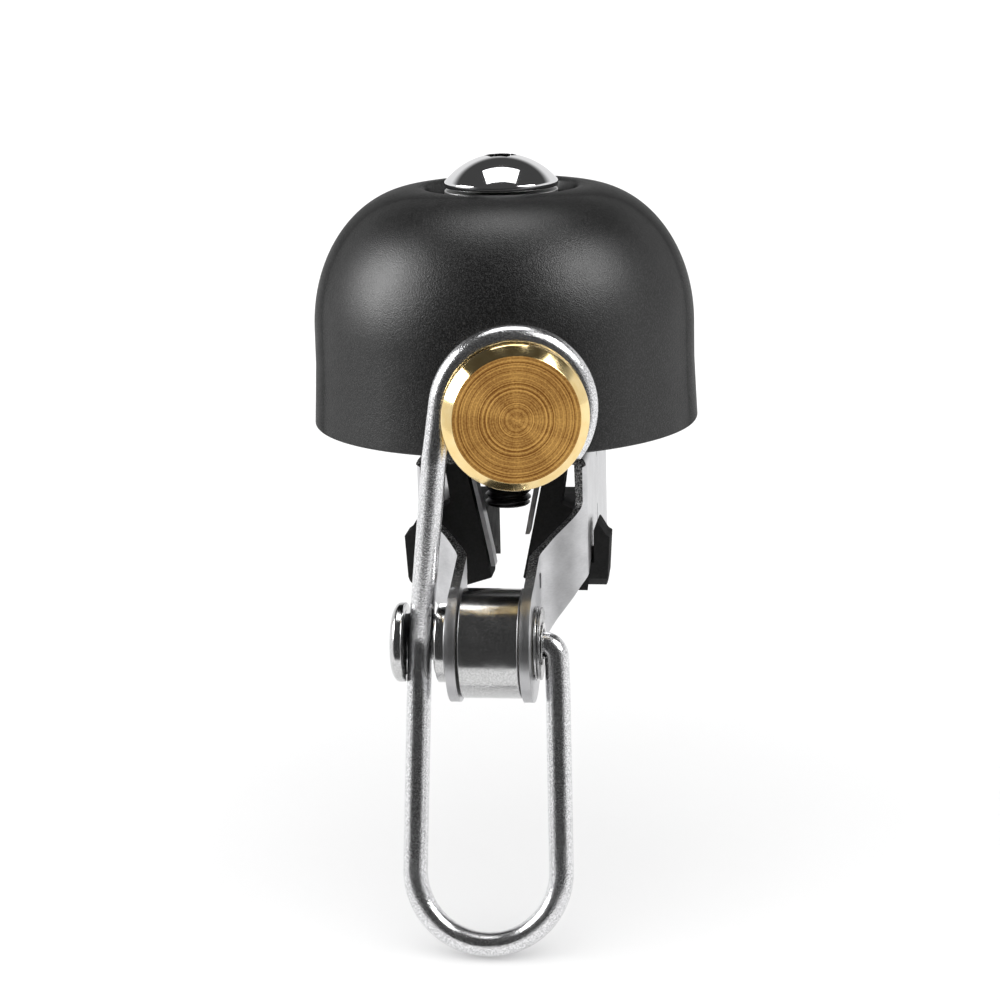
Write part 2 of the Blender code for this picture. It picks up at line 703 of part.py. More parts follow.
def hammer(material, parent):
    groove = HAMMER_FLANGE + HAMMER_GROOVE
    rear = HAMMER_REAR_RADIUS
    profile = [
        (0, 0),
        (HAMMER_FACE_RADIUS, 0),
        (HAMMER_RADIUS, -HAMMER_CHAMFER),
        (HAMMER_RADIUS, -HAMMER_FLANGE + 0.1),
        (HAMMER_RADIUS - 0.1, -HAMMER_FLANGE),
        (HAMMER_NECK_RADIUS, -HAMMER_FLANGE),
        (HAMMER_NECK_RADIUS, -groove),
        (rear, -groove),
        (rear, -HAMMER_LENGTH + 0.4),
        (rear - 0.4, -HAMMER_LENGTH),
        (0, -HAMMER_LENGTH),
    ]
    turn = hammer_axis().to_track_quat("Z", "Y").to_euler()
    at = Vector(HAMMER_FACE) + Vector((0, 0, RIM_Z))
    return lathe(
        "hammer", profile, material, closed=False, segments=48, at=at, turn=turn, parent=parent
    )


def build():
    clear_scene()
    black = make_material("black_anodised", (0.028, 0.028, 0.030), 0.55, 0.35)
    chrome = make_material("polished_chrome", (0.80, 0.80, 0.81), 0.08, 1.0)
    oxide = make_material("black_oxide_steel", (0.02, 0.02, 0.02), 0.35, 0.8)
    steel = make_material("brushed_stainless", (0.56, 0.56, 0.56), 0.32, 1.0)
    polished = make_material("polished_stainless", (0.66, 0.66, 0.66), 0.16, 1.0)
    zinc = make_material("zinc_steel", (0.5, 0.5, 0.5), 0.4, 1.0)
    brass = make_material("turned_brass", (0.62, 0.40, 0.15), 0.25, 1.0)
    rubber = make_material("black_rubber", (0.012, 0.012, 0.012), 0.75, 0.0)
    nylon = make_material("white_nylon", (0.75, 0.74, 0.70), 0.5, 0.0)
    spring = make_material("spring_steel", (0.35, 0.35, 0.36), 0.3, 1.0)

    dome(black)
    cap_nut(chrome)
    crown_washer(zinc)
    upper_isolator(rubber)
    lower_isolator(rubber)
    dome_post(zinc)
    dome_stud(oxide)
    lock_washer(zinc)
    lock_nut(zinc)
    bracket(steel)
    saddle_boot("saddle_boot_left", -1, rubber)
    saddle_boot("saddle_boot_right", 1, rubber)
    spring_barrel(polished)
    bush("bush_left", -1, nylon)
    bush("bush_right", 1, nylon)
    torsion_spring(spring)

    axis = bpy.data.objects.new("striker_axis", None)
    axis.location = pivot_at() * MM
    bpy.context.collection.objects.link(axis)
    pivot_pin(polished, axis)
    thrust_collar(polished, axis)
    end_washer(polished, axis)
    retaining_clip(spring, axis)
    lever_wire(steel, axis)
    hammer(brass, axis)


build()
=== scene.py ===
"""Looks for the bicycle bell: detailed pieces, materials, a soft studio and a camera round the frame.

Lengths are millimetres in the row frame: +Z up, the handlebar along X, the lever on the -Y side.
Heights on the dome's axis are counted from the rim.
"""

import json
import math

import bmesh
import bpy
from mathutils import Matrix, Vector

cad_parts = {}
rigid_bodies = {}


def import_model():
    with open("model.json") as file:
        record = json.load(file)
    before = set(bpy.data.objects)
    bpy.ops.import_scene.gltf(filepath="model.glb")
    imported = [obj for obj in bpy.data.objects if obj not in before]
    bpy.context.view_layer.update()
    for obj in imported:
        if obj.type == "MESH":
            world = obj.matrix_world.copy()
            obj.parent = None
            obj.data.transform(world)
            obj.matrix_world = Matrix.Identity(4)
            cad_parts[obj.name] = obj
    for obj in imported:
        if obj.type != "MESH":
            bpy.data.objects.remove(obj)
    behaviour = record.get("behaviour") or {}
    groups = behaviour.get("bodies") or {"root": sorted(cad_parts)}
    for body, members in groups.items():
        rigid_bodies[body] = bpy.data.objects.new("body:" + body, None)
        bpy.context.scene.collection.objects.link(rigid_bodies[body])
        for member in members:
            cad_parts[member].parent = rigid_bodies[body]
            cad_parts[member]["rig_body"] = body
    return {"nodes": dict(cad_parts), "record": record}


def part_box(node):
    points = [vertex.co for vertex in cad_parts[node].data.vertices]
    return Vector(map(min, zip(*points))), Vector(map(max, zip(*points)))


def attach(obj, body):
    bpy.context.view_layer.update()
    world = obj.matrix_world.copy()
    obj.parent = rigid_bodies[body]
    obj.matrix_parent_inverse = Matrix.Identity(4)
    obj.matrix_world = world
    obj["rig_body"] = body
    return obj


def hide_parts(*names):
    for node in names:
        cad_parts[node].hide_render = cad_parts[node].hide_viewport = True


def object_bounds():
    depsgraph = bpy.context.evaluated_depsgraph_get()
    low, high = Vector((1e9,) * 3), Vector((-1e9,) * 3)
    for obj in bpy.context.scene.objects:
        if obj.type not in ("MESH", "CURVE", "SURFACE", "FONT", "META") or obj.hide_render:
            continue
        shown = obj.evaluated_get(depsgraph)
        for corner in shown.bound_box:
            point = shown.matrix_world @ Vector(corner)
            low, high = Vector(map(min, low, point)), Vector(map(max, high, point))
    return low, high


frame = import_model()
cad_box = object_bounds()

MM = 0.001
TURN = 2 * math.pi
SHARP = math.radians(38)


def centre_mm(node):
    low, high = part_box(node)
    return (low + high) / 2 / MM


def half_mm(node):
    low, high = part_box(node)
    return (high - low) / 2 / MM


RIM = Vector((0, 0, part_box("dome")[0].z / MM))
PIVOT = centre_mm("spring_barrel")
STRIKE = next(m for m in frame["record"]["mounts"] if m["name"] == "hammer_face")

# Dome
DOME_RIM_RADIUS = half_mm("dome").x
DOME_WALL_RADIUS = 20.2
DOME_SHOULDER = 10.5
DOME_CREST_RADIUS = 8.8
DOME_CREST = 25.0
DOME_INNER_CREST_RADIUS = 9.6
DOME_INNER_CREST = 23.4
DOME_WALL = 1.5
DOME_RECESS = 22.6
DOME_RECESS_RADIUS = 7.6
DOME_HOLE_RADIUS = 2.9
DOME_LIP_RADIUS = 8.15
DOME_SKIRT_TOP = 3.0
DOME_FLARE_TOP = 6.5

# The stack on the dome's axis
STUD_CLEARANCE_RADIUS = 2.8
THREAD_LENGTH = 6.9
THREAD_DEPTH = 0.42
THREAD_PITCH = 0.8
CAP_SIDE_HEIGHT = 0.6
CAP_BORE_DEPTH = 2.2
KEY_RADIUS = 1.73
KEY_DEPTH = 1.25
NUT_CHAMFER_WIDTH = 0.65
NUT_CHAMFER_HEIGHT = 0.42

# Bracket: heights are from the rim, X from the pivot's middle, Y in the row frame
SHEET = 1.0
PLATE_TOP = -1.5
PLATE_FOLD = 1.3
WALL_X = 8.9
WALL_FRONT = -12.0
WALL_REAR = 11.8
WALL_ARCH = -11.4
WALL_FOOT = -15.6
WALL_FRONT_FOOT = -14.6
ARM_TOP = -6.75
ARM_FRONT = -15.0
ARM_FRONT_TOP = -11.0
ARM_FRONT_FOOT = -20.4
EAR_X = 4.25
EAR_RADIUS = 6.0
EAR_ARC = (math.radians(95), math.radians(308))
ARM_FOLD_REACH = 1.1
ARCH_START = (-5.0, -12.73)
EAR_BORE_RADIUS = 3.45
SLIT_TOP = -9.4
SLIT_HALF = 0.2
NOTCH_HALF = 0.55
NOTCH_NARROW_HALF = 0.3
NOTCH_NARROWS = 2.0
NOTCH_DEPTH = 2.9
NOTCH_INNER_X = 7.2
ANCHOR_Y = (-16.0, -15.5)
ANCHOR_Z = (-14.7, -13.1)
PAST_WALLS = 11.0
TONGUE_BOW = ((4.25, -2.0), (3.6, -5.0), (2.8, -8.9), (2.4, -10.9), (2.0, -12.9), (1.75, -14.4))
TONGUE_RIGHT_POINTS = 4
TONGUE_THICKNESS = 0.45
TONGUE_Y = (-8.1, -6.1)

# The bracket's cut edges get painted light below one height and painted shade above the other, in the row
# frame
PAINTED_LIGHT_EDGE_TOP = 0.5
PAINTED_SHADE_EDGE_FOOT = 2.6

# Boots, counted as the bracket is
BOOT_Y = (-8.3, -4.7)
BOOT_GAP = 0.3
BOOT_TOE = ((-9.3, -14.52), (-6.1, -17.98), (-9.3, -17.98))
BOOT_TOE_X = (8.5, 12.0)
SADDLE_INNER_X = 2.9
SADDLE_Y = (-5.1, 9.4)
SADDLE_Z = (-17.5, -9.8)
BAR_RADIUS = 15.9

# Lever wire
WIRE_RADIUS = 1.25
RING_RADIUS = 7.2
RING_CUT = math.radians(-40)
RING_LEAVE = math.radians(173)
RING_RISE = 0.45
LEVER_LEFT = -7.58
LEVER_RIGHT = 6.4
LEVER_KNEE = 6.6
LEVER_KNEE_DROP = 5.0
LOOP_LEAN = math.radians(12)
LOOP_CENTRE_X = -0.5
LOOP_RADIUS = 7.5
LOOP_DISTANCE = 23.3
BEND_RADIUS = 6.0
WAIST_REACH = 5.2
LEVER_TAIL_GAP = 0.3
LEVER_CORNER_GAP = 0.15

# Pin, barrel, bushes, coil and clip, with X from the pivot's middle
PIN_RADIUS = 2.2
PIN_BORE_START = 2.3
PIN_BORE_RADIUS = 1.6
PIN_END = 5.15
PIN_NECK_RADIUS = 3.2
PIN_NECK_END = -5.7
PIN_HEAD_RADIUS = 4.05
PIN_HEAD_INNER = -8.95
PIN_HEAD_SIDE_END = -9.75
PIN_HEAD_CROWN = -10.2
PIN_HEAD_OUTER = -10.4
WIRE_GROOVE = (-8.9, -5.85)
WIRE_GROOVE_REAR = 2.05
CLIP_GROOVE = (4.74, 5.06)
CLIP_GROOVE_RADIUS = 1.85
CLIP_X = (4.8, 5.0)
CLIP_RADIUS = 3.7
CLIP_INNER_RADIUS = 2.05
CLIP_HALF_OPENING = math.radians(36)
WASHER_BORE_RADIUS = 2.45
BARREL_BORE_RADIUS = 4.9
BUSH_RADIUS = 3.15
BUSH_FLANGE_RADIUS = 4.6
BUSH_FLANGE = 0.5
COIL_TURNS = 5
COIL_REACH = 2.0
COIL_RADIUS = 3.7
COIL_WIRE_RADIUS = 0.38

# Hammer, along its own axis from the face back
HAMMER_FACE_RADIUS = 6.35
HAMMER_RADIUS = 7.35
HAMMER_NECK = 5.5
HAMMER_REAR = 6.4
HAMMER_CHAMFER = 1.0
HAMMER_FLANGE = 1.8
HAMMER_GROOVE = 3.0
HAMMER_LENGTH = 5.8
FACE_RING_PITCH = 0.21
FACE_RING_DEPTH = 0.03


# ---------------------------------------------------------------- shapes


def rounded(points, radii, closed=False, steps=6):
    """The line through the points with each corner rounded, as far as its two sides allow."""
    points = [Vector(p) for p in points]
    if isinstance(radii, (int, float)):
        radii = [radii] * len(points)
    count = len(points)
    line = []
    for k, (corner, radius) in enumerate(zip(points, radii)):
        if radius == 0 or (not closed and k in (0, count - 1)):
            line.append(corner)
            continue
        back = points[k - 1] - corner
        ahead = points[(k + 1) % count] - corner
        half = back.angle(ahead) / 2
        reach = min(radius / math.tan(half), 0.49 * min(back.length, ahead.length))
        size = reach * math.tan(half)
        centre = corner + (back.normalized() + ahead.normalized()).normalized() * size / math.sin(half)
        first = corner + back.normalized() * reach - centre
        last = corner + ahead.normalized() * reach - centre
        for step in range(steps + 1):
            line.append(centre + first.normalized().slerp(last.normalized(), step / steps) * size)
    return line


def mesh_from(name, shape):
    for face in shape.faces:
        face.smooth = True
    for vertex in shape.verts:
        vertex.co *= MM
    data = bpy.data.meshes.new(name)
    shape.to_mesh(data)
    shape.free()
    return data


def lathe(name, profile, segments=128, closed=False):
    """Turns a line of (radius, height) points about Z; closed joins its last point to its first."""
    shape = bmesh.new()
    rings = []
    for radius, height in profile:
        if radius < 1e-6:
            rings.append([shape.verts.new((0, 0, height))] * segments)
            continue
        turns = [TURN * k / segments for k in range(segments)]
        rings.append([shape.verts.new((radius * math.cos(t), radius * math.sin(t), height)) for t in turns])
    pairs = list(zip(rings, rings[1:]))
    if closed:
        pairs.append((rings[-1], rings[0]))
    for upper, lower in pairs:
        for k in range(segments):
            around = (k + 1) % segments
            corners = dict.fromkeys([upper[k], lower[k], lower[around], upper[around]])
            if len(corners) > 2:
                shape.faces.new(corners)
    bmesh.ops.recalc_face_normals(shape, faces=shape.faces)
    return mesh_from(name, shape)


def prism(name, outline, low, high, axis="Y"):
    """A closed outline pushed through along an axis: pairs are (X, Z) for Y, (Y, Z) for X, (X, Y) for Z."""
    place = {
        "Y": lambda a, b, depth: (a, depth, b),
        "X": lambda a, b, depth: (depth, a, b),
        "Z": lambda a, b, depth: (a, b, depth),
    }[axis]
    shape = bmesh.new()
    near = [shape.verts.new(place(a, b, low)) for a, b in outline]
    far = [shape.verts.new(place(a, b, high)) for a, b in outline]
    shape.faces.new(near)
    shape.faces.new(reversed(far))
    for k in range(len(outline)):
        shape.faces.new((near[k - 1], near[k], far[k], far[k - 1]))
    bmesh.ops.recalc_face_normals(shape, faces=shape.faces)
    return mesh_from(name, shape)


def rod(name, radius, half, segments=64):
    """A plain round bar along Z, for cutting holes."""
    return lathe(name, [(0, half), (radius, half), (radius, -half), (0, -half)], segments)


def box(name, low, high):
    outline = [(low[0], low[2]), (high[0], low[2]), (high[0], high[2]), (low[0], high[2])]
    return prism(name, outline, low[1], high[1])


def tube(name, path, radius, sides=40, chamfer=0.18):
    """A round wire along a path, its ends eased. Its UV map runs round it, and along it in mm."""
    shape = bmesh.new()
    layer = shape.loops.layers.uv.new("wire")
    heading = (path[1] - path[0]).normalized()
    across = heading.orthogonal().normalized()
    rings = []
    travelled = 0.0
    for k, point in enumerate(path):
        ahead = path[min(k + 1, len(path) - 1)] - path[max(k - 1, 0)]
        turned = heading.rotation_difference(ahead.normalized())
        heading = ahead.normalized()
        across = (turned @ across).normalized()
        other = heading.cross(across)
        travelled += (point - path[k - 1]).length if k else 0
        sizes = [(0, radius)]
        if k == 0:
            sizes = [(0, radius - chamfer), (chamfer, radius)]
        if k == len(path) - 1:
            sizes = [(-chamfer, radius), (0, radius - chamfer)]
        for shift, size in sizes:
            turns = [TURN * i / sides for i in range(sides)]
            spokes = [across * math.cos(t) + other * math.sin(t) for t in turns]
            where = point + heading * shift
            rings.append((travelled + shift, [shape.verts.new(where + s * size) for s in spokes]))
    for (before, first), (after, second) in zip(rings, rings[1:]):
        for i in range(sides):
            j = (i + 1) % sides
            face = shape.faces.new((first[i], first[j], second[j], second[i]))
            marks = [(i, before), (i + 1, before), (i + 1, after), (i, after)]
            for loop, (turn, length) in zip(face.loops, marks):
                loop[layer].uv = (turn / sides, length)
    shape.faces.new(reversed(rings[0][1]))
    shape.faces.new(rings[-1][1])
    bmesh.ops.recalc_face_normals(shape, faces=shape.faces)
    return mesh_from(name, shape)


def loose(name, data, place=None):
    item = bpy.data.objects.new(name, data)
    bpy.context.scene.collection.objects.link(item)
    item.matrix_world = place or Matrix.Identity(4)
    return item


def at(point, turn=None):
    """A place in the row frame: a point in millimetres and, if given, a rotation."""
    move = Matrix.Translation(Vector(point) * MM)
    return move @ turn.to_4x4() if turn else move


def along_x(x=0):
    """The striker's axis: local Z points along X from the pivot's middle."""
    return at(PIVOT + Vector((x, 0, 0)), Matrix.Rotation(math.pi / 2, 3, "Y"))


def shaped(data, place=None, joined=(), cut=(), bevel=0.0, segments=2):
    """The mesh after unions, cuts and eased edges, with every temporary object removed."""
    item = loose(data.name, data, place)
    tools = []
    for operation, others in (("UNION", joined), ("DIFFERENCE", cut)):
        for other in others:
            tool = other if isinstance(other, bpy.types.Object) else loose(other.name, other)
            tools.append(tool)
            step = item.modifiers.new(tool.name, "BOOLEAN")
            step.operation = operation
            step.solver = "EXACT"
            step.object = tool
    if bevel:
        ease = item.modifiers.new("ease", "BEVEL")
        ease.width = bevel * MM
        ease.segments = segments
        ease.limit_method = "ANGLE"
        ease.angle_limit = SHARP
    even = item.modifiers.new("even", "WEIGHTED_NORMAL")
    even.keep_sharp = True
    bpy.context.view_layer.update()
    graph = bpy.context.evaluated_depsgraph_get()
    made = bpy.data.meshes.new_from_object(item.evaluated_get(graph))
    made.name = data.name
    for each in (item, *tools):
        bpy.data.objects.remove(each)
    return made


def mark_sharp(data):
    shape = bmesh.new()
    shape.from_mesh(data)
    for edge in shape.edges:
        edge.smooth = len(edge.link_faces) != 2 or edge.calc_face_angle() < SHARP
    for face in shape.faces:
        face.smooth = True
    shape.to_mesh(data)
    shape.free()
    return data


def piece(name, data, node, slot, *materials, place=None):
    """A detailed piece that stands for one CAD node and rides on that node's body."""
    indexes = [polygon.material_index for polygon in data.polygons]
    data.materials.clear()
    for material in materials:
        data.materials.append(material)
    for polygon, index in zip(data.polygons, indexes):
        polygon.material_index = min(index, len(materials) - 1)
    item = loose(name, data, place)
    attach(item, frame["nodes"][node]["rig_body"])
    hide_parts(node)
    return item


# ---------------------------------------------------------------- materials


class Surface:
    """A Principled material whose nodes are added with short calls."""

    def __init__(self, name, color, roughness, metallic, **sockets):
        self.material = bpy.data.materials.new(name)
        self.material.use_nodes = True
        self.tree = self.material.node_tree
        self.shader = self.tree.nodes["Principled BSDF"]
        self.set("Base Color", (*color, 1))
        self.set("Roughness", roughness)
        self.set("Metallic", metallic)
        for key, value in sockets.items():
            self.set(key.replace("_", " "), value)

    def set(self, socket, value):
        if isinstance(value, bpy.types.NodeSocket):
            self.tree.links.new(value, self.shader.inputs[socket])
        else:
            self.shader.inputs[socket].default_value = value

    def add(self, kind, inputs=None, out=0, **settings):
        node = self.tree.nodes.new("ShaderNode" + kind)
        for key, value in settings.items():
            setattr(node, key, value)
        for key, value in (inputs or {}).items():
            if isinstance(value, bpy.types.NodeSocket):
                self.tree.links.new(value, node.inputs[key])
            else:
                node.inputs[key].default_value = value
        return node.outputs[out]

    def where(self):
        return self.add("TexCoord", out=3)

    def stretched(self, scale, source=None):
        return self.add("Mapping", {0: source or self.where(), 3: scale})

    def noise(self, size, detail=2.0, source=None, rough=0.5):
        """Noise whose grains are about size millimetres across."""
        inputs = {"Vector": source or self.where(), "Scale": 1 / (size * MM), "Detail": detail}
        return self.add("TexNoise", {**inputs, "Roughness": rough})

    def span(self, value, low, high, start=0.3, end=0.7):
        """Value taken from start..end to low..high."""
        inputs = {0: value, 1: start, 2: end, 3: low, 4: high}
        return self.add("MapRange", inputs)

    def mix(self, share, first, second):
        node = self.tree.nodes.new("ShaderNodeMix")
        node.data_type = "RGBA"
        self.tree.links.new(share, node.inputs[0])
        for socket, value in ((node.inputs[6], first), (node.inputs[7], second)):
            if isinstance(value, bpy.types.NodeSocket):
                self.tree.links.new(value, socket)
            else:
                socket.default_value = (*value, 1)
        return node.outputs[2]

    def maths(self, operation, first, second=0.0):
        return self.add("Math", {0: first, 1: second}, operation=operation)

    def blend(self, first, share, second, other_share):
        """The sum of two values, each taken at its own share."""
        parts = self.maths("MULTIPLY", first, share), self.maths("MULTIPLY", second, other_share)
        return self.maths("ADD", *parts)

    def outline_gloss(self, full, start, end):
        """Gloss that is full where the surface faces the viewer and all but gone at its outline."""
        edge = self.add("LayerWeight", {"Blend": 0.5}, out=1)
        self.set("Specular IOR Level", self.span(edge, full, 0.02, start, end))

    def bump(self, height, depth, strength=1.0):
        """Bump whose full height is depth millimetres."""
        inputs = {"Height": height, "Distance": depth * MM, "Strength": strength}
        return self.add("Bump", inputs)

    def radius(self):
        """Distance from local Z, in millimetres."""
        flat = self.stretched((1 / MM, 1 / MM, 0))
        return self.add("VectorMath", {0: flat}, out=1, operation="LENGTH")


def bead_blasted_black():
    made = Surface("bead_blasted_black", (0.016, 0.016, 0.016), 0.42, 0.0)
    grain = made.noise(0.15, 2.0, rough=0.6)
    cloud = made.noise(3.0, 3.0)
    speck = made.span(grain, 0.0, 1.0, 0.46, 0.66)
    made.outline_gloss(0.5, 0.26, 0.72)
    made.set("Base Color", made.mix(speck, (0.002, 0.002, 0.002), (0.023, 0.023, 0.023)))
    made.set("Roughness", made.span(cloud, 0.35, 0.39))
    made.set("Normal", made.bump(grain, 0.045, 0.8))
    return made.material


def chrome():
    made = Surface("polished_chrome", (0.82, 0.82, 0.83), 0.05, 1.0)
    smear = made.noise(1.2, 4.0, source=made.stretched((1, 1, 2.5)))
    made.set("Roughness", made.span(smear, 0.035, 0.09))
    made.set("Normal", made.bump(made.noise(0.9, 2.0), 0.004, 0.5))
    return made.material


def black_oxide():
    made = Surface("black_oxide_steel", (0.02, 0.02, 0.02), 0.35, 0.6)
    grain = made.noise(0.2, 3.0)
    made.set("Base Color", made.mix(made.span(grain, 0, 1), (0.012, 0.012, 0.013), (0.035, 0.034, 0.033)))
    made.set("Roughness", made.span(grain, 0.28, 0.45))
    made.set("Normal", made.bump(grain, 0.01, 0.5))
    return made.material


def satin_wire():
    made = Surface("satin_steel_wire", (0.74, 0.74, 0.75), 0.2, 1.0)
    lines = made.add("UVMap", uv_map="wire")
    drawn = made.add("TexNoise", {"Vector": made.stretched((70, 0.35, 1), lines), "Scale": 1, "Detail": 3})
    grain = made.noise(0.16, 2.0, rough=0.6)
    height = made.blend(drawn, 0.35, grain, 0.65)
    speckle = made.span(grain, 0, 1, 0.38, 0.62)
    made.set("Base Color", made.mix(speckle, (0.50, 0.50, 0.51), (0.92, 0.92, 0.93)))
    made.set("Roughness", made.span(drawn, 0.16, 0.26))
    made.set("Normal", made.bump(height, 0.038, 0.85))
    return made.material


def brushed_stainless():
    made = Surface("brushed_stainless", (0.66, 0.66, 0.67), 0.3, 1.0)
    strokes = made.noise(0.16, 3.0, source=made.stretched((0.5, 0.25, 1)))
    cloud = made.noise(3.0, 4.0)
    tone = made.span(made.blend(strokes, 0.25, cloud, 0.75), 0, 1)
    made.set("Base Color", made.mix(tone, (0.46, 0.46, 0.47), (0.68, 0.68, 0.69)))
    made.set("Roughness", made.span(cloud, 0.32, 0.44))
    made.set("Normal", made.bump(strokes, 0.005, 0.4))
    return made.material


def sheared_edge():
    """The sheet's cut edges: painted shade up high, dark with bright flecks, and painted light low down,
    bright and fully metallic.
    """
    made = Surface("sheared_steel_edge", (0.12, 0.12, 0.12), 0.45, 0.7)
    grain = made.noise(0.18, 3.0, rough=0.7)
    fleck = made.span(grain, 0.0, 1.0, 0.46, 0.66)
    # Painted shade: the edges up high are near black, with bright grain flecks at random.
    painted_shade_flecked = made.mix(fleck, (0.022, 0.022, 0.023), (0.34, 0.34, 0.34))
    height = made.add("SeparateXYZ", {0: made.where()}, out=2)
    # Painted light: below one height the edges turn bright and fully metallic, blending into the painted
    # shade above.
    painted_light_share = made.span(height, 1.0, 0.0, PAINTED_LIGHT_EDGE_TOP * MM, PAINTED_SHADE_EDGE_FOOT * MM)
    made.set("Base Color", made.mix(painted_light_share, painted_shade_flecked, (0.50, 0.50, 0.51)))
    made.set("Metallic", made.span(painted_light_share, 0.7, 1.0, 0, 1))
    made.set("Roughness", made.span(grain, 0.28, 0.45))
    made.set("Normal", made.bump(grain, 0.02, 0.5))
    return made.material


def turned_steel(name, tone, low, high):
    """Fine marks round local Z, as a lathe leaves them."""
    made = Surface(name, (tone, tone, tone), (low + high) / 2, 1.0)
    marks = made.noise(0.09, 2.0, source=made.stretched((0.04, 0.04, 1)))
    smear = made.noise(1.5, 3.0)
    grain = made.span(made.noise(0.16, 2.0), 0, 1, 0.36, 0.64)
    made.set("Base Color", made.mix(grain, (tone * 0.82,) * 3, (min(tone * 1.15, 1),) * 3))
    made.set("Roughness", made.span(smear, low, high))
    made.set("Normal", made.bump(marks, 0.004, 0.4))
    return made.material


def zinc_steel():
    made = Surface("zinc_plated_steel", (0.55, 0.55, 0.54), 0.35, 1.0)
    cloud = made.noise(0.8, 4.0)
    made.set("Base Color", made.mix(made.span(cloud, 0, 1), (0.48, 0.48, 0.49), (0.62, 0.62, 0.60)))
    made.set("Roughness", made.span(cloud, 0.28, 0.46))
    made.set("Normal", made.bump(made.noise(0.15, 2.0), 0.008, 0.4))
    return made.material


def brass_face():
    """Turned brass: irregular rings about the middle, with painted sheen in broad fans out from it that
    stands in for the turned face's anisotropic reflections.
    """
    made = Surface("turned_brass_face", (0.7, 0.35, 0.09), 0.34, 0.42, Anisotropic=0.8)
    radius = made.radius()
    narrow = {"W": radius, "Scale": 4.6, "Detail": 2.0, "Roughness": 0.7}
    fine = made.add("TexNoise", narrow, noise_dimensions="1D")
    broad = made.add("TexNoise", {"W": radius, "Scale": 1.6, "Detail": 2.0}, noise_dimensions="1D")
    grain = made.noise(0.2, 3.0)
    rings = made.blend(fine, 0.86, broad, 0.14)
    # Painted sheen: lighter and darker fans by direction round the middle, in place of the anisotropic
    # reflections of the turned face.
    turn = made.add("VectorMath", {0: made.stretched((1, 1, 0))}, operation="NORMALIZE")
    painted_sheen_fans = made.add("TexNoise", {"Vector": turn, "Scale": 1.7, "Detail": 3.0})
    uneven = made.blend(grain, 0.45, painted_sheen_fans, 0.45)
    # The tone adds the painted sheen fans and the random grain to the rings.
    tone = made.span(made.maths("ADD", rings, uneven), 0, 1, 0.78, 1.16)
    made.set("Base Color", made.mix(tone, (0.22, 0.085, 0.013), (0.70, 0.39, 0.10)))
    made.set("Roughness", made.span(rings, 0.26, 0.40))
    made.set("Normal", made.bump(rings, 0.035, 0.8))
    made.set("Tangent", made.add("Tangent", direction_type="RADIAL", axis="Z"))
    return made.material


def brass_polished():
    made = Surface("polished_brass", (0.93, 0.70, 0.33), 0.1, 1.0)
    marks = made.noise(0.09, 2.0, source=made.stretched((0.05, 0.05, 1)))
    smear = made.noise(1.3, 3.0)
    made.set("Base Color", made.mix(made.span(smear, 0, 1), (0.90, 0.66, 0.29), (0.96, 0.76, 0.40)))
    made.set("Roughness", made.span(smear, 0.07, 0.14))
    made.set("Normal", made.bump(marks, 0.005, 0.4))
    return made.material


def rubber():
    made = Surface("black_rubber", (0.010, 0.010, 0.010), 0.6, 0.0)
    grain = made.noise(0.25, 4.0)
    made.set("Base Color", made.mix(made.span(grain, 0, 1), (0.004, 0.004, 0.004), (0.010, 0.010, 0.010)))
    made.outline_gloss(0.28, 0.35, 0.8)
    made.set("Roughness", made.span(made.noise(1.8, 3.0), 0.5, 0.68))
    made.set("Normal", made.bump(grain, 0.02, 0.4))
    return made.material


def nylon():
    made = Surface("white_nylon", (0.74, 0.73, 0.68), 0.45, 0.0)
    grain = made.noise(0.6, 3.0)
    made.set("Base Color", made.mix(made.span(grain, 0, 1), (0.70, 0.69, 0.64), (0.78, 0.77, 0.73)))
    made.set("Roughness", made.span(grain, 0.38, 0.52))
    made.set("Normal", made.bump(grain, 0.006, 0.4))
    return made.material


# ---------------------------------------------------------------- dome and its stack


def dome_piece(material):
    def shoulder(wall, crest, low, high, steps=40):
        turns = [math.pi / 2 * k / steps for k in range(steps + 1)]
        reach = wall - crest
        return [(crest + reach * math.cos(t), low + (high - low) * math.sin(t)) for t in turns]

    outer = shoulder(DOME_WALL_RADIUS, DOME_CREST_RADIUS, DOME_SHOULDER, DOME_CREST)
    inner = shoulder(
        DOME_WALL_RADIUS - DOME_WALL, DOME_INNER_CREST_RADIUS, DOME_SHOULDER, DOME_INNER_CREST
    )
    under = DOME_RECESS - DOME_WALL
    crown = rounded(
        [
            outer[-2],
            (DOME_CREST_RADIUS, DOME_CREST),
            (DOME_LIP_RADIUS, DOME_CREST - 0.1),
            (DOME_RECESS_RADIUS + 0.1, DOME_RECESS + 1.2),
            (DOME_RECESS_RADIUS, DOME_RECESS),
            (DOME_HOLE_RADIUS, DOME_RECESS),
        ],
        [0, 0.6, 0.7, 0.6, 0.5, 0],
    )
    rim_inner = DOME_RIM_RADIUS - DOME_WALL
    rim = rounded(
        [
            (rim_inner, DOME_SKIRT_TOP),
            (rim_inner, 0),
            (DOME_RIM_RADIUS, 0),
            (DOME_RIM_RADIUS - 0.15, DOME_SKIRT_TOP),
            (DOME_WALL_RADIUS, DOME_FLARE_TOP),
        ],
        [0, 0.3, 0.3, 8, 0],
    )
    ceiling = rounded(
        [inner[-2], (9.3, DOME_INNER_CREST - 0.5), (8.9, under), (DOME_HOLE_RADIUS, under)],
        [0, 0.5, 0.8, 0],
    )
    profile = [*reversed(crown[1:]), *reversed(outer[:-1]), *reversed(rim), *inner[:-1], *ceiling[1:]]
    data = mark_sharp(lathe("dome_shell", profile, 240, closed=True))
    return piece("dome_shell", shaped(data), "dome", "black_anodised", material, place=at(RIM))


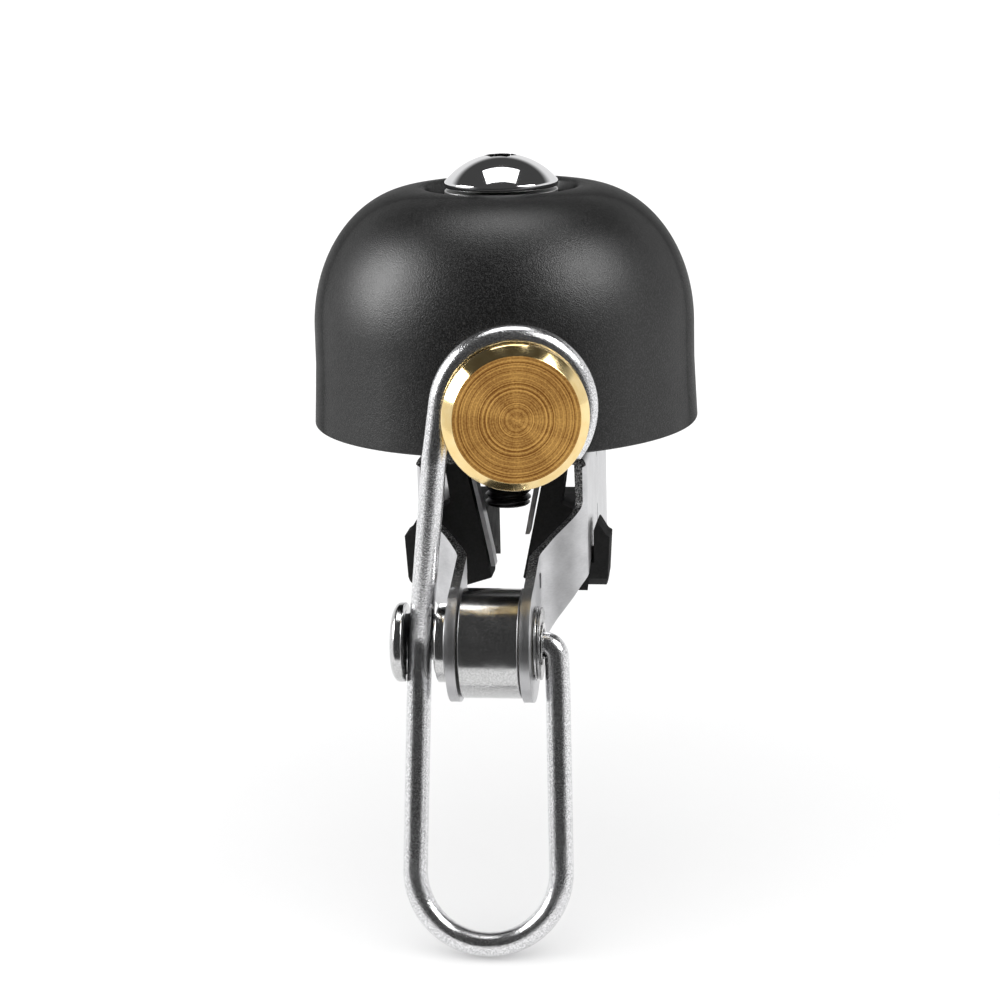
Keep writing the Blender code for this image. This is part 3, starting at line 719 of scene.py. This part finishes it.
def ring_profile(outer, inner, low, high, ease=0.1):
    corners = [(inner, high), (outer, high), (outer, low), (inner, low)]
    return rounded(corners, ease, closed=True, steps=3)


def ring_piece(name, node, slot, material, inner, ease):
    """A plain turned ring of its CAD node's size, with eased edges."""
    size, middle = half_mm(node), centre_mm(node)
    data = lathe(name, ring_profile(size.x, inner, -size.z, size.z, ease), 96, closed=True)
    return piece(name, shaped(mark_sharp(data)), node, slot, material, place=at(middle))


def hexagon(radius):
    """Corners as (X, Y), the first of them on +X."""
    return [(radius * math.cos(TURN * k / 6), radius * math.sin(TURN * k / 6)) for k in range(6)]


def cap_nut_piece(material):
    size, middle = half_mm("cap_nut"), centre_mm("cap_nut")
    radius, low, top = size.x, -size.z, size.z
    side = low + CAP_SIDE_HEIGHT
    ball = (radius**2 + (top - side) ** 2) / (2 * (top - side))
    turns = [math.asin(radius / ball) * k / 28 for k in range(1, 28)]
    crown = [(ball * math.sin(t), top - ball * (1 - math.cos(t))) for t in turns]
    bore, floor = STUD_CLEARANCE_RADIUS, low + CAP_BORE_DEPTH
    skirt = [crown[-1], (radius, side), (radius, low), (bore, low), (bore, floor)]
    profile = [(0, top), *crown[:-1], *rounded(skirt, [0, 0.3, 0.2, 0.1, 0]), (0, floor)]
    body = lathe("cap_nut_body", profile, 144)
    key = prism("cap_nut_key", hexagon(KEY_RADIUS), top - KEY_DEPTH, top + 1, axis="Z")
    data = mark_sharp(shaped(body, cut=[key], bevel=0.09, segments=3))
    return piece("cap_nut_chrome", data, "cap_nut", "chrome", material, place=at(middle))


def helix_stud(low, high, thread_low, thread_high, crest, root, pitch, sides=48):
    """A stud whose thread is a true helix between two heights, and plain above it."""
    shape = bmesh.new()
    rows = int((high - low) / (pitch / 12))
    rings = []
    for row in range(rows + 1):
        height = low + (high - low) * row / rows
        fade = min(max((thread_high - height) / pitch, 0), 1)
        fade *= min(max((height - thread_low) / (pitch / 2), 0), 1)
        ring = []
        for k in range(sides):
            phase = (height / pitch - k / sides) % 1
            depth = (crest - root) * min(abs(phase - 0.5) * 2.4, 1) * fade
            end = max(thread_low + 0.3 - height, height - high + 0.3, 0)
            radius = crest - max(depth, end)
            turn = TURN * k / sides
            ring.append(shape.verts.new((radius * math.cos(turn), radius * math.sin(turn), height)))
        rings.append(ring)
    for lower, upper in zip(rings, rings[1:]):
        for k in range(sides):
            j = (k + 1) % sides
            shape.faces.new((lower[k], lower[j], upper[j], upper[k]))
    shape.faces.new(reversed(rings[0]))
    shape.faces.new(rings[-1])
    bmesh.ops.recalc_face_normals(shape, faces=shape.faces)
    return mesh_from("stud_thread", shape)


def stud_piece(material):
    size, middle = half_mm("dome_stud"), centre_mm("dome_stud")
    low, crest = -size.z, size.x
    data = helix_stud(low, size.z, low, low + THREAD_LENGTH, crest, crest - THREAD_DEPTH, THREAD_PITCH)
    return piece("stud_black", mark_sharp(data), "dome_stud", "black_oxide", material, place=at(middle))


def nut_piece(material):
    """A hexagon nut with the corners turned away at both ends."""
    size, middle = half_mm("lock_nut"), centre_mm("lock_nut")
    corner, tall = size.x, size.z
    body = prism("nut_hexagon", hexagon(corner), -tall, tall, axis="Z")
    face, past, shoulder = corner - NUT_CHAMFER_WIDTH, corner + 0.1, tall - NUT_CHAMFER_HEIGHT
    profile = [(0, tall), (face, tall), (past, shoulder), (past, -shoulder), (face, -tall), (0, -tall)]
    turned = lathe("nut_turned", profile, 96)
    bore = rod("nut_bore", STUD_CLEARANCE_RADIUS, tall + 1)
    outside = loose("nut_turned", turned)
    item = loose("nut_hexagon", body)
    meet = item.modifiers.new("meet", "BOOLEAN")
    meet.operation = "INTERSECT"
    meet.solver = "EXACT"
    meet.object = outside
    bpy.context.view_layer.update()
    graph = bpy.context.evaluated_depsgraph_get()
    met = bpy.data.meshes.new_from_object(item.evaluated_get(graph))
    for each in (item, outside):
        bpy.data.objects.remove(each)
    data = mark_sharp(shaped(met, cut=[bore], bevel=0.05))
    return piece("lock_nut_hexagon", data, "lock_nut", "zinc_steel", material, place=at(middle))


# ---------------------------------------------------------------- bracket and boots


def side_x(y):
    """Outer face of a side plate at a given Y: wall, arm and ear, with the two folds rounded."""
    slope = (WALL_X - EAR_X) / (WALL_FRONT - ARM_FRONT)

    def eased(past):
        """Distance past a fold, taken smoothly from none to all of it."""
        reach = ARM_FOLD_REACH
        return (past + reach) ** 2 / (4 * reach) if abs(past) < reach else max(past, 0)

    return WALL_X - slope * (eased(WALL_FRONT - y) - eased(ARM_FRONT - y))


FOLD_ARC = PLATE_FOLD * math.pi / 2
FLAT_HALF = WALL_X - PLATE_FOLD


def pattern_x(height):
    """How far from the middle a wall's height lies on the flat pattern of the sheet."""
    return FLAT_HALF + FOLD_ARC + (PLATE_TOP - PLATE_FOLD - height)


def pattern_outline():
    """Half of the sheet's flat pattern, as (distance from the middle, Y)."""
    ear_z = PIVOT.z - RIM.z
    sweep = EAR_ARC[1] - EAR_ARC[0]
    turns = [EAR_ARC[0] + sweep * k / 60 for k in range(61)]
    ear = [(PIVOT.y + EAR_RADIUS * math.cos(t), ear_z + EAR_RADIUS * math.sin(t)) for t in turns]
    before = rounded([(WALL_FRONT, ARM_TOP), (ARM_FRONT, ARM_FRONT_TOP), ear[0], ear[2]], [0, 3, 1, 0])
    lower = [ear[-2], ear[-1], (ARM_FRONT, ARM_FRONT_FOOT), (WALL_FRONT, WALL_FRONT_FOOT), ARCH_START]
    after = rounded(lower, [0, 1, 3, 3, 0])
    front = rounded([(WALL_FRONT, PLATE_TOP - PLATE_FOLD), (WALL_FRONT, ARM_TOP), before[1]], [0, 1.5, 0])
    arch = rounded([ARCH_START, (0, WALL_ARCH), (WALL_REAR, WALL_FOOT)], [0, 0.6, 0])
    foot = rounded([arch[-2], (WALL_REAR, WALL_FOOT), (WALL_REAR, PLATE_TOP - PLATE_FOLD)], [0, 0.5, 0])
    sides = [*front[:-1], *before[1:-1], *ear[2:-2], *after[1:-1], *arch[:-1], *foot[1:]]
    return [(pattern_x(z), y) for y, z in sides]


def folded_sheet(*materials):
    """The bracket's outer surface, cut along its folds, folded up and given its thickness."""
    half = pattern_outline()
    line = [*half, *[(-w, y) for w, y in reversed(half)]]
    shape = bmesh.new()
    shape.faces.new([shape.verts.new((w, y, 0)) for w, y in line])
    cuts = [(side * (FLAT_HALF + FOLD_ARC * k / 8), 0, (1, 0, 0)) for side in (-1, 1) for k in range(9)]
    for fold in (WALL_FRONT, ARM_FRONT):
        cuts += [(0, fold + ARM_FOLD_REACH * k / 5, (0, 1, 0)) for k in range(-5, 6)]
    for w, y, normal in cuts:
        parts = [*shape.verts, *shape.edges, *shape.faces]
        bmesh.ops.bisect_plane(shape, geom=parts, plane_co=(w, y, 0), plane_no=normal, dist=1e-5)
    for vertex in shape.verts:
        w, y = vertex.co.x, vertex.co.y
        side = math.copysign(1, w)
        past = abs(w) - FLAT_HALF
        top = RIM.z + PLATE_TOP
        if past <= 0:
            vertex.co = (PIVOT.x + w, y, top)
        elif past < FOLD_ARC:
            turn = past / PLATE_FOLD
            x = FLAT_HALF + PLATE_FOLD * math.sin(turn)
            vertex.co = (PIVOT.x + side * x, y, top - PLATE_FOLD * (1 - math.cos(turn)))
        else:
            vertex.co = (PIVOT.x + side * side_x(y), y, top - PLATE_FOLD - (past - FOLD_ARC))
    shape.normal_update()
    if max(shape.faces, key=lambda f: f.calc_center_median().z).normal.z < 0:
        bmesh.ops.reverse_faces(shape, faces=shape.faces)
    data = mesh_from("bracket_sheet", shape)
    for material in materials:
        data.materials.append(material)
    item = loose("bracket_sheet", data)
    thick = item.modifiers.new("thick", "SOLIDIFY")
    thick.thickness = SHEET * MM
    thick.offset = -1
    thick.use_even_offset = True
    thick.material_offset_rim = 1
    bpy.context.view_layer.update()
    made = bpy.data.meshes.new_from_object(item.evaluated_get(bpy.context.evaluated_depsgraph_get()))
    made.name = "bracket_sheet"
    bpy.data.objects.remove(item)
    return made


def tongue(side, count):
    """A bowed strip under the top plate, along the inner side of the boot's leg."""
    spots = TONGUE_BOW[:count]
    outer = rounded([(PIVOT.x + side * x, z + RIM.z) for x, z in spots], 6.0)
    inner = rounded([(PIVOT.x + side * (x - TONGUE_THICKNESS), z + RIM.z) for x, z in spots], 6.0)
    return prism(f"tongue_{'left' if side < 0 else 'right'}", [*outer, *reversed(inner)], *TONGUE_Y)


def bar_tool(name, radius, half, y, z, segments=96):
    """A plain round bar along X, for cutting holes and arches."""
    data = rod(name, radius, half, segments)
    return loose(name, data, at((0, y, z), Matrix.Rotation(math.pi / 2, 3, "Y")))


def notch_tool():
    """A narrow notch across both plate folds, in line with the slit."""
    top = RIM.z + PLATE_TOP
    outline = [
        (-NOTCH_HALF, top + 1),
        (NOTCH_HALF, top + 1),
        (NOTCH_NARROW_HALF, top - NOTCH_NARROWS),
        (0, top - NOTCH_DEPTH),
        (-NOTCH_NARROW_HALF, top - NOTCH_NARROWS),
    ]
    body = prism("notch", outline, -PAST_WALLS, PAST_WALLS, axis="X")
    inner = NOTCH_INNER_X
    keep = box("notch_gap", (PIVOT.x - inner, -2, top - 4), (PIVOT.x + inner, 2, top + 2))
    return shaped(body, cut=[keep])


def bracket_piece(material, edge):
    z = RIM.z
    stud = rod("stud_hole", STUD_CLEARANCE_RADIUS, 3)
    slit = box("slit", (-PAST_WALLS, -SLIT_HALF, z - 14), (PAST_WALLS, SLIT_HALF, z + SLIT_TOP))
    anchor = box("anchor", (-8, ANCHOR_Y[0], z + ANCHOR_Z[0]), (8, ANCHOR_Y[1], z + ANCHOR_Z[1]))
    cuts = [
        loose("stud_hole", stud, at((0, 0, z + PLATE_TOP))),
        bar_tool("ear_hole", EAR_BORE_RADIUS, 8, PIVOT.y, PIVOT.z),
        loose("slit", slit),
        loose("notch", notch_tool()),
        loose("anchor", anchor),
    ]
    tongues = [tongue(-1, None), tongue(1, TONGUE_RIGHT_POINTS)]
    data = shaped(folded_sheet(material, edge), joined=tongues, cut=cuts, bevel=0.09, segments=2)
    return piece("bracket_folded", mark_sharp(data), "bracket", "brushed_stainless", material, edge)


def boot_outline(side):
    """The boot from the front: the outer lip over the wall, the foot and the leaning leg.

    Each corner is its distance from the pivot's middle, its height and its rounding.
    """
    corners = [
        (1.65, -15.6, 0.15),
        (4.85, -16.6, 0.4),
        (7.6, -16.9, 0.6),
        (10.55, -16.9, 1.0),
        (10.9, -11.1, 0.12),
        (10.5, -10.85, 0.08),
        (9.6, -9.4, 0.1),
        (9.0, -10.9, 0.1),
        (7.4, -8.3, 0.5),
        (5.85, -7.5, 0.3),
        (6.5, -2.8, 0.15),
        (4.35, -2.8, 0.15),
    ]
    points = [(PIVOT.x + side * x, z + RIM.z) for x, z, _ in corners]
    return rounded(points, [r for _, _, r in corners], closed=True, steps=5)


def boot_piece(name, node, side, material):
    z = RIM.z
    gap = BOOT_GAP

    def across(inner, outer):
        """Two distances from the pivot's middle as X values, the lower one first."""
        return sorted((PIVOT.x + side * inner, PIVOT.x + side * outer))

    front = prism(name, boot_outline(side), *BOOT_Y)
    near, far = across(SADDLE_INNER_X, WALL_X - 0.5)
    low, high = SADDLE_Z
    saddle = box(f"{name}_saddle", (near, SADDLE_Y[0], z + low), (far, SADDLE_Y[1], z + high))
    line = [
        (WALL_REAR + 2, 0),
        (WALL_FRONT - 2, 0),
        (WALL_FRONT - 2, WALL_FRONT_FOOT - gap),
        (WALL_FRONT, WALL_FRONT_FOOT - gap),
        (0, WALL_ARCH - gap),
        (WALL_REAR, WALL_FOOT - gap),
        (WALL_REAR + 2, WALL_FOOT - gap),
    ]
    seat = across(WALL_X - SHEET - gap, WALL_X + gap)
    slot = prism(f"{name}_slot", [(a, b + z) for a, b in line], *seat, axis="X")
    toe = prism(f"{name}_toe", [(a, b + z) for a, b in BOOT_TOE], *across(*BOOT_TOE_X), axis="X")
    arch = bar_tool(f"{name}_bar", BAR_RADIUS, 15, 0, -BAR_RADIUS, 160)
    data = shaped(front, joined=[saddle], cut=[slot, toe, arch], bevel=0.12, segments=3)
    return piece(name, mark_sharp(data), node, "rubber", material)


# ---------------------------------------------------------------- striker


def barrel_piece(material):
    end = half_mm("spring_barrel").x
    outer = half_mm("spring_barrel").z
    bore = BARREL_BORE_RADIUS
    corners = [(bore, end), (outer, end), (outer, -end), (bore, -end)]
    data = lathe("spring_barrel_sleeve", rounded(corners, 0.16, closed=True, steps=4), 160, closed=True)
    return piece(
        "spring_barrel_sleeve",
        shaped(mark_sharp(data)),
        "spring_barrel",
        "polished_stainless",
        material,
        place=along_x(),
    )


def bush_piece(name, node, side, material):
    end = half_mm("spring_barrel").x
    bore, flange, inner = WASHER_BORE_RADIUS, BUSH_FLANGE_RADIUS, end - BUSH_FLANGE
    corners = [(bore, inner), (flange, inner), (flange, end)]
    corners += [(BUSH_RADIUS, end), (BUSH_RADIUS, EAR_X), (bore, EAR_X)]
    profile = [(r, side * x) for r, x in rounded(corners, 0.08, closed=True, steps=3)]
    data = lathe(name, profile, 96, closed=True)
    return piece(name, shaped(mark_sharp(data)), node, "nylon", material, place=along_x())


def spring_piece(material):
    steps = 48 * COIL_TURNS
    path = []
    for k in range(steps + 1):
        turn = TURN * COIL_TURNS * k / steps
        x = COIL_REACH * (2 * k / steps - 1)
        path.append(PIVOT + Vector((x, COIL_RADIUS * math.cos(turn), COIL_RADIUS * math.sin(turn))))
    data = tube("torsion_spring_coil", path, COIL_WIRE_RADIUS, sides=16, chamfer=0.08)
    return piece("torsion_spring_coil", data, "torsion_spring", "spring_steel", material)


def pin_piece(material):
    head = PIN_HEAD_RADIUS
    groove_start, groove_end = CLIP_GROOVE
    corners = [
        (0, PIN_BORE_START, 0),
        (PIN_BORE_RADIUS, PIN_BORE_START, 0.1),
        (PIN_BORE_RADIUS, PIN_END, 0.08),
        (PIN_RADIUS, PIN_END, 0.05),
        (PIN_RADIUS, groove_end, 0),
        (CLIP_GROOVE_RADIUS, groove_end, 0),
        (CLIP_GROOVE_RADIUS, groove_start, 0),
        (PIN_RADIUS, groove_start, 0),
        (PIN_RADIUS, PIN_NECK_END, 0.1),
        (PIN_NECK_RADIUS, PIN_NECK_END, 0.1),
        (PIN_NECK_RADIUS, PIN_HEAD_INNER, 0.2),
        (head, PIN_HEAD_INNER, 0.15),
        (head, PIN_HEAD_SIDE_END, 0.5),
        (head - 0.55, PIN_HEAD_CROWN, 1.2),
        (head - 2.2, PIN_HEAD_OUTER, 2.5),
        (0, PIN_HEAD_OUTER, 0),
    ]
    profile = rounded([(r, x) for r, x, _ in corners], [ease for _, _, ease in corners])
    low, high = Vector((WIRE_GROOVE[0], -6, -6)), Vector((WIRE_GROOVE[1], WIRE_GROOVE_REAR, 6))
    groove = box("groove", PIVOT + low, PIVOT + high)
    body = lathe("pivot_pin_headed", profile, 128)
    tool = loose("groove", groove, along_x().inverted())
    data = mark_sharp(shaped(body, cut=[tool], bevel=0.04))
    return piece("pivot_pin_headed", data, "pivot_pin", "polished_stainless", material, place=along_x())


def flat_ring_piece(name, node, slot, inner, ease, material):
    """A ring on the pin, of its CAD node's size, with eased edges."""
    size, middle = half_mm(node), centre_mm(node)
    profile = ring_profile(size.z, inner, -size.x, size.x, ease)
    data = lathe(name, profile, 128, closed=True)
    return piece(name, shaped(mark_sharp(data)), node, slot, material, place=along_x(middle.x - PIVOT.x))


def clip_piece(material):
    """A flat clip, open at the back, in the groove at the end of the pin."""
    sweep = TURN - 2 * CLIP_HALF_OPENING
    turns = [CLIP_HALF_OPENING + sweep * k / 72 for k in range(73)]
    outer = [(CLIP_RADIUS * math.cos(t), CLIP_RADIUS * math.sin(t)) for t in turns]
    inner = [(CLIP_INNER_RADIUS * math.cos(t), CLIP_INNER_RADIUS * math.sin(t)) for t in reversed(turns)]
    data = prism("retaining_clip_flat", outer + inner, *CLIP_X, axis="X")
    data = mark_sharp(shaped(data, bevel=0.05))
    return piece("retaining_clip_flat", data, "retaining_clip", "spring_steel", material, place=at(PIVOT))


STRIKE_AXIS = Vector(STRIKE["axis"]).normalized()
STRIKE_POINT = Vector(STRIKE["pos_m"]) / MM


def ring_point(angle, radius=RING_RADIUS):
    back = HAMMER_FLANGE + HAMMER_GROOVE / 2
    centre = STRIKE_POINT - STRIKE_AXIS * back + Vector((0, 0, RING_RISE))
    right = Vector((-STRIKE_AXIS.y, STRIKE_AXIS.x, 0))
    return centre + (right * math.cos(angle) + Vector((0, 0, 1)) * math.sin(angle)) * radius


def lever_path():
    """From the cut end of the ring, over the hammer, through the pin, round the loop, to the pin."""
    sweep = RING_LEAVE - RING_CUT
    ring = [ring_point(RING_CUT + sweep * k / 70) for k in range(71)]
    heading = (ring[-1] - ring[-2]).normalized()
    waist = ring[-1] + heading * WAIST_REACH
    slot = PIVOT + Vector((LEVER_LEFT, 0, 0))
    down = Vector((0, -math.sin(LOOP_LEAN), -math.cos(LOOP_LEAN)))
    side = Vector((1, 0, 0))
    base = PIVOT + side * LOOP_CENTRE_X + down * LOOP_DISTANCE
    turns = [math.pi * k / 60 for k in range(61)]
    loop = [base + (down * math.sin(t) - side * math.cos(t)) * LOOP_RADIUS for t in turns]
    knee = PIVOT + side * LEVER_KNEE + down * LEVER_KNEE_DROP
    corner = PIVOT + side * LEVER_RIGHT
    tail = PIVOT + side * (PIN_BORE_START + LEVER_TAIL_GAP)
    upper = rounded([ring[-1], waist, slot, loop[0]], BEND_RADIUS, steps=24)
    tight = LEVER_RIGHT - PIN_END + LEVER_CORNER_GAP
    lower = rounded([loop[-1], knee, corner, tail], [0, BEND_RADIUS, tight, 0], steps=20)
    return ring[:-1] + upper + loop[1:-1] + lower


def lever_piece(material):
    data = tube("lever_wire_drawn", lever_path(), WIRE_RADIUS)
    return piece("lever_wire_drawn", mark_sharp(data), "lever_wire", "brushed_stainless", material)


def hammer_piece(face, polished):
    """The hammer, its rings turned into the face as shallow grooves."""
    groove = HAMMER_FLANGE + HAMMER_GROOVE
    pitch = FACE_RING_PITCH
    rings = []
    for k in range(1, int(HAMMER_FACE_RADIUS / pitch)):
        # Two sines out of step make the depths uneven
        depth = 0.010 + 0.006 * math.sin(k * 2.3) + 0.004 * math.sin(k * 0.7)
        rings += [(pitch * (k - 0.5), -depth), (pitch * k, 0)]
    corners = [
        (rings[-1][0], 0, 0),
        (HAMMER_FACE_RADIUS, 0, 0.08),
        (HAMMER_RADIUS, -HAMMER_CHAMFER, 0.35),
        (HAMMER_RADIUS, -HAMMER_FLANGE, 0.15),
        (HAMMER_NECK, -HAMMER_FLANGE, 0.25),
        (HAMMER_NECK, -groove, 0.25),
        (HAMMER_REAR, -groove, 0.15),
        (HAMMER_REAR, -HAMMER_LENGTH, 0.45),
        (0, -HAMMER_LENGTH, 0),
    ]
    side = rounded([(r, z) for r, z, _ in corners], [ease for _, _, ease in corners])
    data = lathe("hammer_brass", [(0, 0), *rings, *side[1:]], 192)
    data = shaped(mark_sharp(data))
    turn = STRIKE_AXIS.to_track_quat("Z", "Y").to_matrix()
    item = piece("hammer_brass", data, "hammer", "brass", face, polished, place=at(STRIKE_POINT, turn))
    for polygon in data.polygons:
        middle = polygon.center / MM
        on_face = middle.z > -FACE_RING_DEPTH and math.hypot(middle.x, middle.y) < HAMMER_FACE_RADIUS
        polygon.material_index = 0 if on_face else 1
    return item


# ---------------------------------------------------------------- studio and camera

# The rim's middle lands AIM away from the picture's middle, in picture widths to the right and down
AIM = (0.0065, -0.0826)
CAMERA_AZIMUTH = math.radians(7.0)
CAMERA_ELEVATION = math.radians(11.6)
CAMERA_ROLL = math.radians(1.3)
CAMERA_DISTANCE = 300.0
LENS = 100.44
SENSOR = 36.0

# The floor stops short in front of the bell, so that the wire doesn't mirror it
FLOOR_DROP = 0.4
FLOOR_THICKNESS = 5.0
FLOOR_HALF = 3000.0
FLOOR_FRONT = -66.0

# Every softbox faces this point
LIT_POINT = Vector((0, 0, 10))

# World strengths: the room seen in reflections, and the white that all else sees
ROOM_DARK = 0.06
ROOM_PALE = 0.85
WHITE = 1.42


def heading_from(azimuth, elevation):
    """The direction out from the bell, with azimuth counted from -Y towards +X."""
    flat = math.cos(elevation)
    return Vector((math.sin(azimuth) * flat, -math.cos(azimuth) * flat, math.sin(elevation)))


def add_camera():
    """Stands CAMERA_DISTANCE from the middle of the rim, rolled, and aimed to one side of it."""
    away = heading_from(CAMERA_AZIMUTH, CAMERA_ELEVATION)
    right = (-away).cross(Vector((0, 0, 1))).normalized()
    up = right.cross(-away)
    rolled = right * math.cos(CAMERA_ROLL) - up * math.sin(CAMERA_ROLL)
    raised = right * math.sin(CAMERA_ROLL) + up * math.cos(CAMERA_ROLL)
    focal = LENS / SENSOR
    ahead = (-away - rolled * AIM[0] / focal + raised * AIM[1] / focal).normalized()
    rolled = (rolled - ahead * rolled.dot(ahead)).normalized()
    raised = rolled.cross(ahead)
    data = bpy.data.cameras.new("camera")
    data.lens = LENS
    data.sensor_width = SENSOR
    data.clip_start = 0.01
    data.clip_end = 20
    camera = bpy.data.objects.new("camera", data)
    bpy.context.scene.collection.objects.link(camera)
    turn = Matrix((rolled, raised, -ahead)).transposed()
    camera.matrix_world = Matrix.Translation((RIM + away * CAMERA_DISTANCE) * MM) @ turn.to_4x4()
    bpy.context.scene.camera = camera


def softbox(name, azimuth, elevation, distance, width, height, brightness):
    """A rectangular soft light that only shines in reflections, azimuth counted from the camera."""
    away = heading_from(CAMERA_AZIMUTH + math.radians(azimuth), math.radians(elevation))
    data = bpy.data.lights.new(name, "AREA")
    data.shape = "RECTANGLE"
    data.size = width * MM
    data.size_y = height * MM
    data.energy = brightness * math.pi * width * height * MM * MM
    lamp = bpy.data.objects.new(name, data)
    bpy.context.scene.collection.objects.link(lamp)
    lamp.location = (LIT_POINT + away * distance) * MM
    lamp.rotation_euler = (-away).to_track_quat("-Z", "Y").to_euler()
    lamp.visible_camera = False
    lamp.visible_diffuse = False


def add_world():
    """A pale room behind the bell, dark in front where reflections look, white for the rest."""
    world = bpy.data.worlds.new("studio")
    world.use_nodes = True
    tree = world.node_tree
    tree.nodes.clear()

    def add(kind, inputs=None, **settings):
        node = tree.nodes.new("ShaderNode" + kind)
        for key, value in settings.items():
            setattr(node, key, value)
        for key, value in (inputs or {}).items():
            if isinstance(value, bpy.types.NodeSocket):
                tree.links.new(value, node.inputs[key])
            else:
                node.inputs[key].default_value = value
        return node

    direction = add("TexCoord").outputs[0]
    parts = add("SeparateXYZ", {0: direction}).outputs
    side = add("MapRange", {0: parts[2], 1: 0.24, 2: 0.42, 3: 0.7, 4: 0.0})
    reach = add("Math", {0: parts[1], 1: side.outputs[0]}, operation="ADD")
    soft = {"interpolation_type": "SMOOTHSTEP"}
    behind = add("MapRange", {0: reach.outputs[0], 1: -0.1, 2: 0.45, 3: 0.0, 4: 1.0}, **soft)
    low = add("MapRange", {0: parts[2], 1: 0.40, 2: 0.62, 3: 1.0, 4: 0.0}, **soft)
    lit = add("Math", {0: behind.outputs[0], 1: low.outputs[0]}, operation="MULTIPLY")
    level = add("MapRange", {0: lit.outputs[0], 1: 0.0, 2: 1.0, 3: ROOM_DARK, 4: ROOM_PALE})
    room = add("Background", {0: level.outputs[0], 1: 1.0})
    white = add("Background", {0: (1, 1, 1, 1), 1: WHITE})
    path = add("LightPath")
    even = add("Math", {0: path.outputs[0], 1: path.outputs[2]}, operation="MAXIMUM")
    shown = add("MixShader", {0: even.outputs[0], 1: room.outputs[0], 2: white.outputs[0]})
    add("OutputWorld", {0: shown.outputs[0]})
    bpy.context.scene.world = world


def add_floor():
    made = Surface("pale_floor", (0.9, 0.9, 0.9), 0.9, 0.0, Specular_IOR_Level=0.0)
    cloud = made.noise(90, 2.0)
    made.set("Base Color", made.mix(made.span(cloud, 0, 1), (0.89, 0.89, 0.89), (0.91, 0.91, 0.91)))
    height = cad_box[0].z / MM - FLOOR_DROP
    half = FLOOR_HALF
    corners = [(-half, FLOOR_FRONT), (half, FLOOR_FRONT), (half, half), (-half, half)]
    floor = loose("floor", prism("floor", corners, height - FLOOR_THICKNESS, height, axis="Z"))
    floor.data.materials.append(made.material)


def add_studio():
    add_world()
    add_floor()
    softbox("left_softbox", -86, 26, 480, 300, 270, 10.0)
    softbox("right_softbox", 62, 40, 480, 240, 230, 9.0)
    softbox("top_softbox", 0, 97, 420, 260, 220, 4.0)
    view = bpy.context.scene.view_settings
    view.view_transform = "Standard"
    view.look = "None"


# ---------------------------------------------------------------- the whole bell


def build():
    zinc = zinc_steel()
    soft = rubber()
    stainless = brushed_stainless()
    polished = turned_steel("polished_stainless", 0.58, 0.14, 0.24)
    spring = turned_steel("spring_steel", 0.45, 0.2, 0.32)
    white = nylon()
    clear = STUD_CLEARANCE_RADIUS
    bore = WASHER_BORE_RADIUS

    dome_piece(bead_blasted_black())
    cap_nut_piece(chrome())
    stud_piece(black_oxide())
    nut_piece(zinc)
    ring_piece("crown_washer_flat", "crown_washer", "zinc_steel", zinc, clear, 0.08)
    ring_piece("upper_isolator_ring", "upper_isolator", "rubber", soft, clear, 0.2)
    ring_piece("lower_isolator_ring", "lower_isolator", "rubber", soft, clear, 0.2)
    ring_piece("dome_post_tube", "dome_post", "zinc_steel", zinc, clear, 0.2)
    ring_piece("lock_washer_flat", "lock_washer", "zinc_steel", zinc, clear, 0.08)
    bracket_piece(stainless, sheared_edge())
    boot_piece("boot_left", "saddle_boot_left", -1, soft)
    boot_piece("boot_right", "saddle_boot_right", 1, soft)
    barrel_piece(polished)
    bush_piece("bush_left_flanged", "bush_left", -1, white)
    bush_piece("bush_right_flanged", "bush_right", 1, white)
    spring_piece(spring)
    pin_piece(polished)
    flat_ring_piece("thrust_collar_ring", "thrust_collar", "polished_stainless", bore, 0.15, polished)
    flat_ring_piece("end_washer_flat", "end_washer", "polished_stainless", bore, 0.06, polished)
    clip_piece(spring)
    lever_piece(satin_wire())
    hammer_piece(brass_face(), brass_polished())


build()
add_studio()
add_camera()
